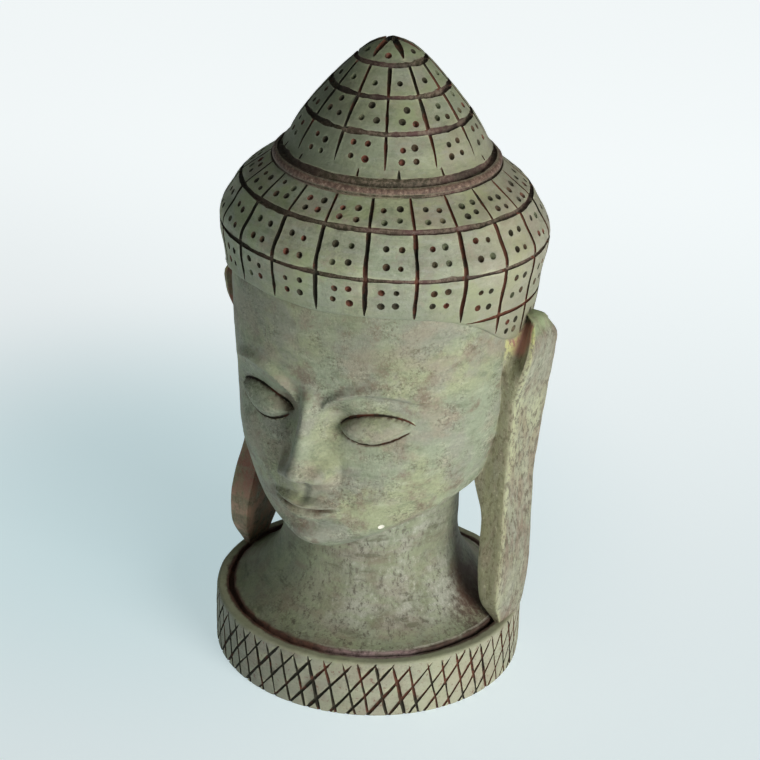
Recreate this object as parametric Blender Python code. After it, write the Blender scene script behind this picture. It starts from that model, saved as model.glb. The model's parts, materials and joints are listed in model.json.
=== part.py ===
"""A head on a round base, cast as one in resin. Metres, +Z up, the face towards -Y.

The origin is the centre of the flat underside. The base and the neck are sized by themselves. The head, its ears and
its cap keep their proportions to one unit, half the width of the cap, and their heights are in units above the rim.
"""

import math

import bpy
import numpy as np

# Base: a low drum with a rim, and a ring groove inside the rim
BASE_RADIUS = 0.0400
BASE_HEIGHT = 0.0156
RIM_ROUND = 0.0008
RIM_WIDTH = 0.0030
GROOVE_WIDTH = 0.0015
GROOVE_DEPTH = 0.0016

# Cross-cut wall: two families of straight cuts that lean opposite ways and cross at whole levels
CUT_COUNT = 56
CUT_DEPTH = 0.0005
CUT_WIDTH = 0.0010
STEEP_LEAN = math.radians(14)
SLANT_LEAN = math.radians(45)
CUT_LEVELS = 4

# Shoulder dish and neck: the dish falls away from the neck in a hollow curve
NECK_RADIUS = 0.0222
DISH_HEIGHT = 0.0236
DISH_BOW = 2.6
DISH_STEPS = 6

# The head's unit, which sets its size, and the levels of its face, which part it into three equal thirds
CAP_HALF_WIDTH = 0.0400
CHIN = 0.60
HAIRLINE = 2.30
THIRD = (HAIRLINE - CHIN) / 3
NOSE_BASE = CHIN + THIRD
BROW = CHIN + 2 * THIRD
HEAD_TOP = 2.46

# Head: height, half-width, depth of the face and depth of the back of the head
HEAD_SECTIONS = (
    (0.58, 0.47, 0.75, 0.50),
    (0.74, 0.61, 0.80, 0.55),
    (0.91, 0.715, 0.83, 0.61),
    (1.17, 0.81, 0.85, 0.71),
    (1.45, 0.870, 0.855, 0.785),
    (1.73, 0.900, 0.865, 0.825),
    (2.00, 0.915, 0.880, 0.840),
    (2.30, 0.925, 0.885, 0.845),
    (2.46, 0.90, 0.86, 0.83),
)
FACE_SQUARENESS = 0.97
JAW_RISE = 0.31
JAW_ANGLE = math.radians(100)
JAW_ROUND = 0.16
JAW_TUCK = 0.16
JAW_UNDERSIDE = ((0.45, 0.07), (0.72, 0.035))
FACE_COLUMNS = 28
FACE_CROWDING = 1.35
BACK_COLUMNS = 10
HEAD_ROWS = 23

# Face: it is five eyes wide, the nose is one eye wide, and the mouth reaches to under the middle of each eye
EYE_WIDTH = 0.36
EYE_LINE = BROW - 0.19
EYE_MIDDLE = 1.06 * EYE_WIDTH
EYE_HALF_LENGTH = 0.60 * EYE_WIDTH
UPPER_LID = 0.082
LOWER_LID = 0.088
LID_RISE = 0.088
BROW_START = (0.07, BROW - 0.12)
BROW_TOP = (0.42, BROW + 0.075)
BROW_RISE = 0.036
BROW_END = 0.76
NOSE_RISE = 0.205
NOSE_ROOT_SHARE = 0.26
NOSE_HALF_WIDTH = 0.082
MOUTH = NOSE_BASE - THIRD / 3
LIP_HALF_WIDTH = 0.67 * EYE_WIDTH
UPPER_LIP = 0.075
LOWER_LIP = 0.098
LIP_RISE = 0.048

# Soft forms of the face: distance from its middle, height, half-width, half-height, and how far it stands out
FACE_FORMS = {
    "eye socket": (0.37, EYE_LINE + 0.03, 0.27, 0.150, -0.066),
    "inner corner of the eye": (0.16, EYE_LINE + 0.03, 0.085, 0.130, -0.060),
    "tip of the nose": (0.0, NOSE_BASE + 0.085, 0.090, 0.080, 0.034),
    "wing of the nose": (0.128, NOSE_BASE + 0.062, 0.058, 0.060, 0.125),
    "crease beside the wing": (0.205, NOSE_BASE + 0.060, 0.035, 0.080, -0.026),
    "cheek": (0.50, NOSE_BASE + 0.08, 0.24, 0.24, 0.036),
    "mound of the mouth": (0.0, MOUTH + 0.01, 0.28, 0.190, 0.050),
    "groove over the lips": (0.0, MOUTH + 0.120, 0.030, 0.055, -0.018),
    "corner of the mouth": (0.262, MOUTH + 0.034, 0.040, 0.040, -0.022),
    "hollow under the lips": (0.0, MOUTH - 0.135, 0.170, 0.042, -0.034),
    "chin": (0.0, CHIN + 0.115, 0.170, 0.105, 0.060),
}

# Cap: outline of its lower tier as height and half-width, with its depth as a share of its width
CAP_OUTLINE = (
    (1.41, 0.900),
    (1.66, 0.915),
    (1.91, 0.932),
    (2.06, 0.955),
    (2.21, 0.975),
    (2.36, 0.990),
    (2.51, 1.015),
    (2.62, 1.012),
    (2.72, 0.955),
    (2.82, 0.890),
    (2.92, 0.765),
    (3.00, 0.660),
)
CAP_LEVELS = (1.41, 2.06, 2.41, 2.69, 2.93, 3.00)
CAP_RINGS = (1.86, 2.25, 2.56, 2.82)
CAP_CUT_SPAN = (1.41, 2.93)
CAP_DEPTH_SHARE = 0.94
CAP_TILES = 21
CAP_TURN = math.radians(3.9)
TILE_CUT_WIDTH = 0.028
TILE_CUT_DEPTH = 0.026

# Edge of the cap: angle in degrees from the middle of the face, and height
HAIR_EDGE = (
    (0, HAIRLINE),
    (35, HAIRLINE),
    (49, 2.28),
    (61, 2.226),
    (70, 2.15),
    (80, 2.046),
    (95, 1.97),
    (100, 1.90),
    (104, 1.36),
)
HAIR_EDGE_STEP = 8
HAIR_EDGE_REACH = (0.60, 1.08)

# Cone on the cap, with a round bead at its foot
CONE_OUTLINE = (
    (2.90, 0.630),
    (2.955, 0.682),
    (2.985, 0.692),
    (3.010, 0.674),
    (3.022, 0.645),
    (3.034, 0.648),
    (3.06, 0.623),
    (3.16, 0.567),
    (3.26, 0.503),
    (3.36, 0.427),
    (3.46, 0.342),
    (3.56, 0.250),
    (3.63, 0.175),
    (3.67, 0.120),
    (3.70, 0.050),
)
CONE_LEVELS = (2.90, 2.955, 2.985, 3.010, 3.022, 3.034, 3.08, 3.18, 3.36, 3.52, 3.66, 3.70)
CONE_RINGS = (3.276, 3.448, 3.599)
CONE_CUT_SPAN = (3.08, 3.66)
CONE_TILES = 12
CONE_INNER_COLUMNS = 1
CONE_TURN = math.radians(-3)

# Ears: height, inner face, outer face at its front and at its back, front edge and back edge
EAR_SECTIONS = (
    (-0.06, 0.930, 0.955, 0.975, 0.03, 0.20),
    (0.05, 0.905, 0.970, 0.990, -0.04, 0.26),
    (0.20, 0.865, 0.990, 1.003, -0.135, 0.29),
    (0.36, 0.845, 1.002, 1.008, -0.155, 0.305),
    (0.58, 0.820, 0.995, 1.005, -0.12, 0.305),
    (0.80, 0.790, 0.960, 1.000, -0.06, 0.305),
    (0.95, 0.720, 0.948, 1.000, -0.03, 0.300),
    (1.25, 0.700, 0.955, 1.020, -0.03, 0.300),
    (1.60, 0.700, 0.985, 1.055, -0.06, 0.295),
    (1.75, 0.700, 1.030, 1.075, -0.10, 0.290),
    (1.90, 0.720, 1.075, 1.095, -0.14, 0.275),
    (2.02, 0.750, 1.085, 1.100, -0.125, 0.250),
    (2.10, 0.800, 1.045, 1.060, -0.03, 0.190),
)
EAR_CORNER = 0.24
EAR_SIDES = 12
FOOT_LEAN_HEIGHT = 1.2


def ease(start, end, value):
    """0 at the start, 1 at the end, and smooth between them."""
    t = np.clip((value - start) / (end - start), 0.0, 1.0)
    return t * t * (3 - 2 * t)


def bump(x, z, form):
    middle, height, half_width, half_height, rise = form
    return rise * np.exp(-(((x - middle) / half_width) ** 2) - ((z - height) / half_height) ** 2)


def arch(t):
    """A half ellipse over t from 0 to 1, and 0 elsewhere."""
    return np.sqrt(np.clip(4 * t * (1 - t), 0.0, 1.0))


def between(table, height, column):
    """A value of a table at a height, on a smooth curve through the table's points."""
    heights = np.array([row[0] for row in table], float)
    values = np.array([row[column] for row in table], float)
    slopes = np.gradient(values, heights)
    i = np.clip(np.searchsorted(heights, height) - 1, 0, len(heights) - 2)
    span = heights[i + 1] - heights[i]
    t = np.clip((height - heights[i]) / span, 0.0, 1.0)
    return (
        values[i] * (1 - t) ** 2 * (1 + 2 * t)
        + slopes[i] * span * t * (1 - t) ** 2
        + values[i + 1] * t**2 * (3 - 2 * t)
        - slopes[i + 1] * span * t**2 * (1 - t)
    )


def squared(value, power):
    return np.sign(value) * np.abs(value) ** power


def height_of(level):
    """The height in metres of a level of the head."""
    return BASE_HEIGHT + level * CAP_HALF_WIDTH


def placed(x, y, z):
    """Points in metres, from arrays in units."""
    return list(zip(x * CAP_HALF_WIDTH, y * CAP_HALF_WIDTH, height_of(z)))


def mesh_object(name, points, faces):
    """A new object. A face runs anticlockwise as seen from outside."""
    mesh = bpy.data.meshes.new(name)
    mesh.from_pydata(points, [], faces)
    mesh.update()
    obj = bpy.data.objects.new(name, mesh)
    bpy.context.scene.collection.objects.link(obj)
    return obj


def add_rows(points, faces, rows):
    """Adds rows of equally many points, from the bottom up, joined by quads, and returns the first and the last."""
    start = len(points)
    count = len(rows[0])
    for row in rows:
        points.extend(row)
    for r in range(len(rows) - 1):
        low, high = start + r * count, start + (r + 1) * count
        for i in range(count):
            j = (i + 1) % count
            faces.append((low + i, low + j, high + j, high + i))
    return list(range(start, start + count)), list(range(len(points) - count, len(points)))


def close_end(points, faces, row, faces_up):
    """Closes a row of points with a fan around their middle."""
    corners = [points[n] for n in row]
    points.append(tuple(sum(values) / len(row) for values in zip(*corners)))
    for i, here in enumerate(row):
        after = row[(i + 1) % len(row)]
        faces.append((here, after, len(points) - 1) if faces_up else (after, here, len(points) - 1))


def loft(name, rows):
    """A closed form through rows of points, from the bottom up."""
    points, faces = [], []
    first, last = add_rows(points, faces, rows)
    close_end(points, faces, first, False)
    close_end(points, faces, last, True)
    return mesh_object(name, points, faces)


def on_round(radius, angle, z):
    """A point at an angle from the middle of the face, turning towards +X."""
    return (radius * math.sin(angle), -radius * math.cos(angle), z)


def cross_cut_wall(points, faces):
    """The base's wall. It returns the bottom edge, the top row, and the angle that the top row is turned by.

    The cuts leave diamond pads, with half pads at the bottom edge and under the rim, where the cuts run out.
    """
    step = 2 * math.pi / CUT_COUNT
    steep = math.tan(STEEP_LEAN) / BASE_RADIUS
    slant = math.tan(SLANT_LEAN) / BASE_RADIUS
    rise = step / (steep + slant)
    pad_share = 1 - CUT_WIDTH / (step * BASE_RADIUS * math.cos(SLANT_LEAN))
    top = CUT_LEVELS

    def crossing(i, k, depth):
        return on_round(BASE_RADIUS - depth, i * step - steep * k * rise, k * rise)

    def add_pad(i, k, corners):
        """Adds the points of the pad between crossings i and i + 1 of level k, one for each of its corners."""
        middle = (i + 0.5) * step - steep * k * rise
        first = len(points)
        for corner in corners:
            x, y, z = points[corner]
            turn = (math.atan2(x, -y) - middle + math.pi) % (2 * math.pi) - math.pi
            height = k * rise + (z - k * rise) * pad_share
            points.append(on_round(BASE_RADIUS, middle + turn * pad_share, height))
        return list(range(first, first + len(corners)))

    crossings = {}
    for k in range(top + 1):
        for i in range(CUT_COUNT):
            crossings[i, k] = len(points)
            points.append(crossing(i, k, CUT_DEPTH if k < top else 0.0))

    bottom_edge = []
    for i in range(CUT_COUNT):
        j = (i + 1) % CUT_COUNT
        for k in range(top + 1):
            left, right = crossings[i, k], crossings[j, k]
            if k == 0:
                above = crossings[j, 1]
                pad = add_pad(i, k, (left, right, above))
                faces.extend((tuple(pad), (left, pad[0], pad[2], above), (pad[1], right, above, pad[2])))
                bottom_edge.extend((left, pad[0], pad[1]))
            elif k == top:
                below = crossings[i, k - 1]
                pad = add_pad(i, k, (below,))
                faces.extend(((left, below, pad[0]), (below, right, pad[0]), (left, pad[0], right)))
            else:
                ring = (crossings[i, k - 1], right, crossings[j, k + 1], left)
                pad = add_pad(i, k, ring)
                faces.append(tuple(pad))
                for n in range(4):
                    m = (n + 1) % 4
                    faces.append((ring[n], ring[m], pad[m], pad[n]))
    return bottom_edge, [crossings[i, top] for i in range(CUT_COUNT)], -steep * top * rise


def round_rows(outline, count, turn):
    return [
        [on_round(radius, turn + 2 * math.pi * i / count, z) for i in range(count)]
        for radius, z in outline
    ]


def base_form():
    """The drum, its rim and ring groove, the shoulder dish and the neck, which ends inside the head."""
    points, faces = [], []
    edge, wall_top, turn = cross_cut_wall(points, faces)
    close_end(points, faces, edge, False)

    rim_inner = BASE_RADIUS - RIM_WIDTH
    dish_edge = rim_inner - GROOVE_WIDTH
    groove_floor = BASE_HEIGHT - GROOVE_DEPTH
    rim = (
        (BASE_RADIUS, BASE_HEIGHT - RIM_ROUND),
        (BASE_RADIUS - RIM_ROUND, BASE_HEIGHT),
        (rim_inner, BASE_HEIGHT),
        (rim_inner - GROOVE_WIDTH / 3, groove_floor),
    )
    first, last = add_rows(points, faces, round_rows(rim, CUT_COUNT, turn))
    for i in range(CUT_COUNT):
        j = (i + 1) % CUT_COUNT
        faces.append((wall_top[i], wall_top[j], first[j], first[i]))

    dish = [(dish_edge + GROOVE_WIDTH / 4, groove_floor)]
    for step in range(DISH_STEPS + 1):
        t = step / DISH_STEPS
        radius = NECK_RADIUS + (dish_edge - NECK_RADIUS) * (1 - t) ** DISH_BOW
        dish.append((radius, BASE_HEIGHT + DISH_HEIGHT * t))
    dish.append((NECK_RADIUS, height_of(NOSE_BASE)))
    halved = CUT_COUNT // 2
    start, top = add_rows(points, faces, round_rows(dish, halved, turn))
    for i in range(halved):
        a, b, c = last[2 * i], last[2 * i + 1], last[(2 * i + 2) % CUT_COUNT]
        faces.append((a, b, start[i]))
        faces.append((b, c, start[(i + 1) % halved], start[i]))
    close_end(points, faces, top, True)
    return mesh_object("base_form", points, faces)


def eye_rise(x, z):
    """A lowered lid: an almond between two arcs, with its outer corner a little higher than its inner one."""
    across = (x - EYE_MIDDLE) / EYE_HALF_LENGTH
    reach = np.clip(1 - across**2, 0.0, 1.0)
    line = EYE_LINE + 0.02 * across
    low, high = line - LOWER_LID * reach, line + UPPER_LID * reach**0.8
    return LID_RISE * reach**0.4 * arch((z - low) / np.maximum(high - low, 1e-6))


def brow_rise(x, z):
    """A thin ridge that springs from the bridge of the nose and arches over the eye, sharper on its lower side."""
    rising = np.clip((x - BROW_START[0]) / (BROW_TOP[0] - BROW_START[0]), 0.0, 1.0)
    line = BROW_START[1] + (BROW_TOP[1] - BROW_START[1]) * np.sin(rising**0.8 * math.pi / 2)
    line = line - 1.3 * np.clip(x - BROW_TOP[0], 0.0, None) ** 2
    width = np.where(z > line, 0.040, 0.024)
    ends = ease(0.02, 0.12, x) * ease(BROW_END, BROW_END - 0.22, x)
    return BROW_RISE * ends * np.exp(-(((z - line) / width) ** 2))


def nose_rise(x, z):
    """The bridge of the nose, from between the brows to the tip."""
    t = (z - NOSE_BASE) / (BROW - NOSE_BASE)
    profile = NOSE_ROOT_SHARE + (1 - NOSE_ROOT_SHARE) * (1 - np.clip(t, 0.0, 1.0)) ** 1.1
    profile = profile * ease(-0.10, 0.17, t) * ease(1.15, 0.75, t)
    width = NOSE_HALF_WIDTH * (0.72 + 0.45 * ease(0.9, 0.0, t))
    return NOSE_RISE * profile * np.exp(-np.abs(x / width) ** 2.6)


def lips_rise(x, z):
    """Two full lips. The upper one dips in the middle, and the line between them turns up at its ends."""
    across = x / LIP_HALF_WIDTH
    reach = np.clip(1 - across**2, 0.0, 1.0)
    line = MOUTH + 0.035 * across**2
    upper = UPPER_LIP * reach * (1 - 0.28 * np.exp(-((x / 0.05) ** 2))) + 1e-6
    lower = LOWER_LIP * reach**0.8 + 1e-6
    t = np.where(z > line, (z - line) / upper, (line - z) / lower)
    return LIP_RISE * np.sqrt(reach) * arch(t) ** 1.4


def face_rise(x, z):
    """How far the face stands out from the plain head."""
    x = np.abs(x)
    soft = sum(bump(x, z, form) for form in FACE_FORMS.values())
    return soft + eye_rise(x, z) + brow_rise(x, z) + nose_rise(x, z) + lips_rise(x, z)


def jaw_level(angle):
    """Level of the head's lower edge, lowest at the chin and level behind the jaw."""
    return CHIN + JAW_RISE * ease(0.0, JAW_ANGLE, np.abs(angle))


def head_row(angle, share):
    """Points of the head, in units, at a share of the way up from its lower edge."""
    low = jaw_level(angle)
    z = low + (HEAD_TOP - low) * share
    facing = np.cos(angle) > 1e-9
    depth = np.where(facing, between(HEAD_SECTIONS, z, 2), between(HEAD_SECTIONS, z, 3))
    tuck = 1 - JAW_TUCK * np.clip(1 - (z - low) / JAW_ROUND, 0.0, None) ** 2
    power = np.where(facing, FACE_SQUARENESS, 1.0)
    x = between(HEAD_SECTIONS, z, 1) * tuck * squared(np.sin(angle), power)
    y = -depth * tuck * squared(np.cos(angle), power)
    return x, np.where(facing, y - face_rise(x, z), y), z


def head_form():
    """The head under its cap, with the face."""
    t = np.linspace(-1, 1, FACE_COLUMNS + 1)
    front = np.sign(t) * np.abs(t) ** FACE_CROWDING * math.pi / 2
    back = np.linspace(math.pi / 2, 3 * math.pi / 2, BACK_COLUMNS + 1)[1:-1]
    angle = np.concatenate((front, back))
    angle = (angle + math.pi) % (2 * math.pi) - math.pi
    rows = []
    x, y, z = head_row(angle, 0.0)
    for share, lift in JAW_UNDERSIDE:
        rows.append(placed(x * share, y * share, z + lift))
    for r in range(HEAD_ROWS + 1):
        x, y, z = head_row(angle, r / HEAD_ROWS)
        rows.append(placed(x, y, z))
    return loft("head_form", rows)


def tiled_levels(outline, rings, plain):
    """Levels of a tiled form's rows, each with whether it is the bottom of a ring cut."""
    levels = [(z, False) for z in plain]
    for ring in rings:
        slope = (between(outline, ring + 0.01, 1) - between(outline, ring - 0.01, 1)) / 0.02
        half = TILE_CUT_WIDTH / 2 / math.sqrt(1 + slope**2)
        levels.extend(((ring - half, False), (ring, True), (ring + half, False)))
    return sorted(levels)


def tiled_form(name, outline, levels, cut_span, tiles, inner_columns, turn, depth_share):
    """A form with cuts around it and along its meridians, which part it into tiles.

    Each meridian cut takes three columns, its bottom and its two edges, and a tile can have more between its edges.
    """
    half_cut = TILE_CUT_WIDTH / 2
    tile_angle = 2 * math.pi / tiles
    rows = []
    for z, in_ring in levels:
        radius = between(outline, z, 1)
        half_angle = half_cut / max(radius, half_cut * tiles)
        row = []
        inner_step = (tile_angle - 2 * half_angle) / (inner_columns + 1)
        turns = [-half_angle, 0.0, half_angle]
        turns.extend(half_angle + inner_step * (n + 1) for n in range(inner_columns))
        for i in range(tiles):
            for offset in turns:
                in_cut = offset == 0.0 and cut_span[0] <= z <= cut_span[1]
                reach = radius - (TILE_CUT_DEPTH if in_ring or in_cut else 0.0)
                x, y, _ = on_round(reach * CAP_HALF_WIDTH, turn + i * tile_angle + offset, z)
                row.append((x, y * depth_share, height_of(z)))
        rows.append(row)
    return loft(name, rows)


def cap_form():
    """The cap's lower tier, down to the nape at the back."""
    levels = tiled_levels(CAP_OUTLINE, CAP_RINGS, CAP_LEVELS)
    return tiled_form(
        "cap_form", CAP_OUTLINE, levels, CAP_CUT_SPAN, CAP_TILES, 0, CAP_TURN, CAP_DEPTH_SHARE
    )


def cone_form():
    """The cone and the bead at its foot, whose lower half lies in the cap."""
    levels = tiled_levels(CONE_OUTLINE, CONE_RINGS, CONE_LEVELS)
    return tiled_form(
        "cone_form", CONE_OUTLINE, levels, CONE_CUT_SPAN, CONE_TILES, CONE_INNER_COLUMNS, CONE_TURN, 1.0
    )


def hair_edge_cutter():
    """What is taken off the cap in front: all that is under its edge, over the face and round to behind the ears."""
    reach = HAIR_EDGE[-1][0]
    floor = height_of(CAP_OUTLINE[0][0] - 0.2)
    inner, outer = (share * CAP_HALF_WIDTH for share in HAIR_EDGE_REACH)
    points, faces = [], []
    for degrees in range(-reach, reach + 1, HAIR_EDGE_STEP):
        top = height_of(between(HAIR_EDGE, abs(degrees), 1))
        for radius, z in ((inner, floor), (outer, floor), (outer, top), (inner, top)):
            points.append(on_round(radius, math.radians(degrees), z))
    last = len(points) - 4
    for start in range(0, last, 4):
        for m in range(4):
            a, b = start + m, start + (m + 1) % 4
            faces.append((a, a + 4, b + 4, b))
    faces.append((0, 1, 2, 3))
    faces.append((last + 3, last + 2, last + 1, last))
    return mesh_object("hair_edge_cutter", points, faces)


def ear_form(side):
    """One long ear, on the +X side for 1 and on the other for -1. Its lobe leans to meet the rim."""
    foot = BASE_RADIUS / CAP_HALF_WIDTH - 1
    rows = []
    for z, inner, outer_front, outer_back, front, back in EAR_SECTIONS:
        lean = foot * (1 - ease(0.0, FOOT_LEAN_HEIGHT, z))
        row = []
        for i in range(EAR_SIDES):
            angle = 2 * math.pi * (i + 0.5) / EAR_SIDES
            outwards = (1 + squared(math.cos(angle), EAR_CORNER)) / 2
            backwards = (1 + squared(math.sin(angle), EAR_CORNER)) / 2
            outer = outer_front + (outer_back - outer_front) * backwards
            x = inner + (outer - inner) * outwards + lean
            y = front + (back - front) * backwards
            row.append((side * x * CAP_HALF_WIDTH, y * CAP_HALF_WIDTH, height_of(z)))
        rows.append(row if side > 0 else row[::-1])
    return loft("left_ear_form" if side > 0 else "right_ear_form", rows)


def hide_helper(obj):
    obj.hide_render = True
    obj.display_type = "WIRE"


def combine(body, form, operation):
    """Joins or cuts by the MANIFOLD solver, because EXACT loses forms here at some sizes of the base."""
    modifier = body.modifiers.new(form.name, "BOOLEAN")
    modifier.operation = operation
    modifier.solver = "MANIFOLD"
    modifier.object = form
    hide_helper(form)


def painted_resin():
    material = bpy.data.materials.new("painted_resin")
    material.use_nodes = True
    shader = material.node_tree.nodes["Principled BSDF"]
    shader.inputs["Base Color"].default_value = (0.23, 0.24, 0.17, 1.0)
    shader.inputs["Roughness"].default_value = 0.62
    shader.inputs["Metallic"].default_value = 0.0
    return material


def build():
    for obj in list(bpy.data.objects):
        bpy.data.objects.remove(obj, do_unlink=True)
    cap = cap_form()
    combine(cap, hair_edge_cutter(), "DIFFERENCE")
    casting = base_form()
    casting.name = "resin_head"
    for form in (head_form(), cap, cone_form(), ear_form(1), ear_form(-1)):
        combine(casting, form, "UNION")
    casting.data.materials.append(painted_resin())


build()
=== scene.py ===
"""Looks of the resin head: its cut, drilled and weathered surface, its paint, the light and the camera.

Metres, +Z up, the face towards -Y. The casting's sizes are those of the solid, and its heights are in units
above the rim, a unit being half the width of the cap. Here the same forms are finely meshed, joined to one
closed skin, and cut and drilled as the real one was.
"""

import json
import math
from types import SimpleNamespace

import bpy
import numpy as np
from mathutils import Matrix, Vector

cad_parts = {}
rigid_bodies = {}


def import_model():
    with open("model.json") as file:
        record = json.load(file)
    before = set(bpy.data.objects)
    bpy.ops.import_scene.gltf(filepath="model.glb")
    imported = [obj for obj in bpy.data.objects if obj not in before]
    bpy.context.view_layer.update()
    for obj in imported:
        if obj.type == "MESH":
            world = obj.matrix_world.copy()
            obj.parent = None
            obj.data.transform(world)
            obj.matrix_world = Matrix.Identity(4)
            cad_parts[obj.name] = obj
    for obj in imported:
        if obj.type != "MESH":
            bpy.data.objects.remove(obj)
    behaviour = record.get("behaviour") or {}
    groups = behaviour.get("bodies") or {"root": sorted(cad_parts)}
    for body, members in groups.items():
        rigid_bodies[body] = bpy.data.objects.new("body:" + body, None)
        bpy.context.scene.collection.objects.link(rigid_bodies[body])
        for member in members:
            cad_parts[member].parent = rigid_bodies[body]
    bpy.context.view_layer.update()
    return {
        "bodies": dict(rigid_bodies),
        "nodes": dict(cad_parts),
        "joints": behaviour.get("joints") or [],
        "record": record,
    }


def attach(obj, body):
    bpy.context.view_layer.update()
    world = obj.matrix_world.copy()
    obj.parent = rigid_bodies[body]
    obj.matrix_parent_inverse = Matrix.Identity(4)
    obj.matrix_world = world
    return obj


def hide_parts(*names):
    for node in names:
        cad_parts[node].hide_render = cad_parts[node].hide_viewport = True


SEED = 7

# Base, shoulder dish and neck
BASE_RADIUS = 0.0400
BASE_HEIGHT = 0.0156
RIM_ROUND = 0.0009
RIM_WIDTH = 0.0030
GROOVE_WIDTH = 0.0015
GROOVE_DEPTH = 0.0016
GROOVE_RADIUS = BASE_RADIUS - RIM_WIDTH - GROOVE_WIDTH / 2
NECK_RADIUS = 0.0222
DISH_HEIGHT = 0.0236
DISH_BOW = 2.6

# Cross-cut wall: each family's count, lean and unevenness in place, and the cuts' width and height
WALL_CUTS = {
    "steep_cuts": (59, math.radians(-13), 0.010),
    "slanting_cuts": (50, math.radians(37), 0.014),
}
CUT_WIDTH = 0.00074
CUT_TOP = 0.0156

# The head's unit, and the levels of its face, which part it into three equal thirds
CAP_HALF_WIDTH = 0.0400
CHIN = 0.60
HAIRLINE = 2.30
THIRD = (HAIRLINE - CHIN) / 3
NOSE_BASE = CHIN + THIRD
BROW = CHIN + 2 * THIRD
HEAD_TOP = 2.46

# Head: height, half-width, depth of the face and depth of the back of the head
HEAD_SECTIONS = (
    (0.58, 0.47, 0.75, 0.50),
    (0.74, 0.61, 0.80, 0.55),
    (0.91, 0.715, 0.83, 0.61),
    (1.17, 0.81, 0.85, 0.71),
    (1.45, 0.870, 0.855, 0.785),
    (1.73, 0.900, 0.865, 0.825),
    (2.00, 0.915, 0.880, 0.840),
    (2.30, 0.925, 0.885, 0.845),
    (2.46, 0.90, 0.86, 0.83),
)
FACE_SQUARENESS = 0.97
JAW_RISE = 0.31
JAW_ANGLE = math.radians(100)
JAW_ROUND = 0.16
JAW_TUCK = 0.16
JAW_UNDERSIDE = ((0.45, 0.07), (0.60, 0.050), (0.74, 0.030), (0.87, 0.010), (1.0, 0.0))

# Face: it is five eyes wide, the nose is one eye wide, and the mouth reaches to under the middle of each eye
EYE_WIDTH = 0.36
EYE_LINE = BROW - 0.19
EYE_SLANT = 0.02
EYE_MIDDLE = 1.06 * EYE_WIDTH
EYE_HALF_LENGTH = 0.60 * EYE_WIDTH
UPPER_LID = 0.082
LOWER_LID = 0.088
LID_RISE = 0.088
BROW_START = (0.07, BROW - 0.12)
BROW_TOP = (0.42, BROW + 0.075)
BROW_RISE = 0.048
BROW_END = 0.76
NOSE_RISE = 0.205
NOSE_ROOT_SHARE = 0.26
NOSE_HALF_WIDTH = 0.082
MOUTH = NOSE_BASE - THIRD / 3
LIP_HALF_WIDTH = 0.67 * EYE_WIDTH
UPPER_LIP = 0.075
LOWER_LIP = 0.098
LIP_RISE = 0.060

# Soft forms of the face: distance from its middle, height, half-width, half-height, and how far it stands out
FACE_FORMS = {
    "eye socket": (0.37, EYE_LINE + 0.03, 0.27, 0.150, -0.066),
    "inner corner of the eye": (0.16, EYE_LINE + 0.03, 0.085, 0.130, -0.060),
    "tip of the nose": (0.0, NOSE_BASE + 0.085, 0.090, 0.080, 0.034),
    "wing of the nose": (0.128, NOSE_BASE + 0.062, 0.058, 0.060, 0.125),
    "crease beside the wing": (0.205, NOSE_BASE + 0.060, 0.035, 0.080, -0.026),
    "cheek": (0.50, NOSE_BASE + 0.08, 0.24, 0.24, 0.036),
    "mound of the mouth": (0.0, MOUTH + 0.01, 0.28, 0.190, 0.050),
    "groove over the lips": (0.0, MOUTH + 0.120, 0.030, 0.055, -0.018),
    "corner of the mouth": (0.262, MOUTH + 0.034, 0.040, 0.040, -0.022),
    "hollow under the lips": (0.0, MOUTH - 0.135, 0.170, 0.042, -0.034),
    "chin": (0.0, CHIN + 0.115, 0.170, 0.105, 0.060),
}

# Cap: outline of its lower tier as height and half-width, with its depth as a share of its width
CAP_OUTLINE = (
    (1.41, 0.900), (1.66, 0.915), (1.91, 0.932), (2.06, 0.955), (2.21, 0.975), (2.36, 0.990),
    (2.51, 1.015), (2.62, 1.012), (2.72, 0.955), (2.82, 0.890), (2.92, 0.765), (3.00, 0.660),
)
CAP_RINGS = (1.86, 2.25, 2.56, 2.82)
CAP_DEPTH_SHARE = 0.94
CAP_TILES = 21
CAP_TURN = math.radians(3.9)

# Edge of the cap: angle in degrees from the middle of the face, and height
HAIR_EDGE = (
    (0, HAIRLINE), (35, HAIRLINE), (49, 2.28), (61, 2.226), (70, 2.15),
    (80, 2.046), (95, 1.97), (100, 1.90), (104, 1.41), (180, 1.41),
)

# Cone on the cap, with a round bead at its foot: height and half-width
CONE_OUTLINE = (
    (2.90, 0.630), (2.955, 0.682), (2.985, 0.692), (3.010, 0.674), (3.022, 0.645),
    (3.034, 0.648), (3.06, 0.623), (3.16, 0.567), (3.26, 0.503), (3.36, 0.427),
    (3.46, 0.342), (3.56, 0.250), (3.63, 0.175), (3.67, 0.120), (3.70, 0.050),
)
CONE_RINGS = (3.276, 3.448, 3.599)
CONE_TILES = 12
CONE_TURN = math.radians(-3)
BEAD_TOP = 3.06

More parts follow.
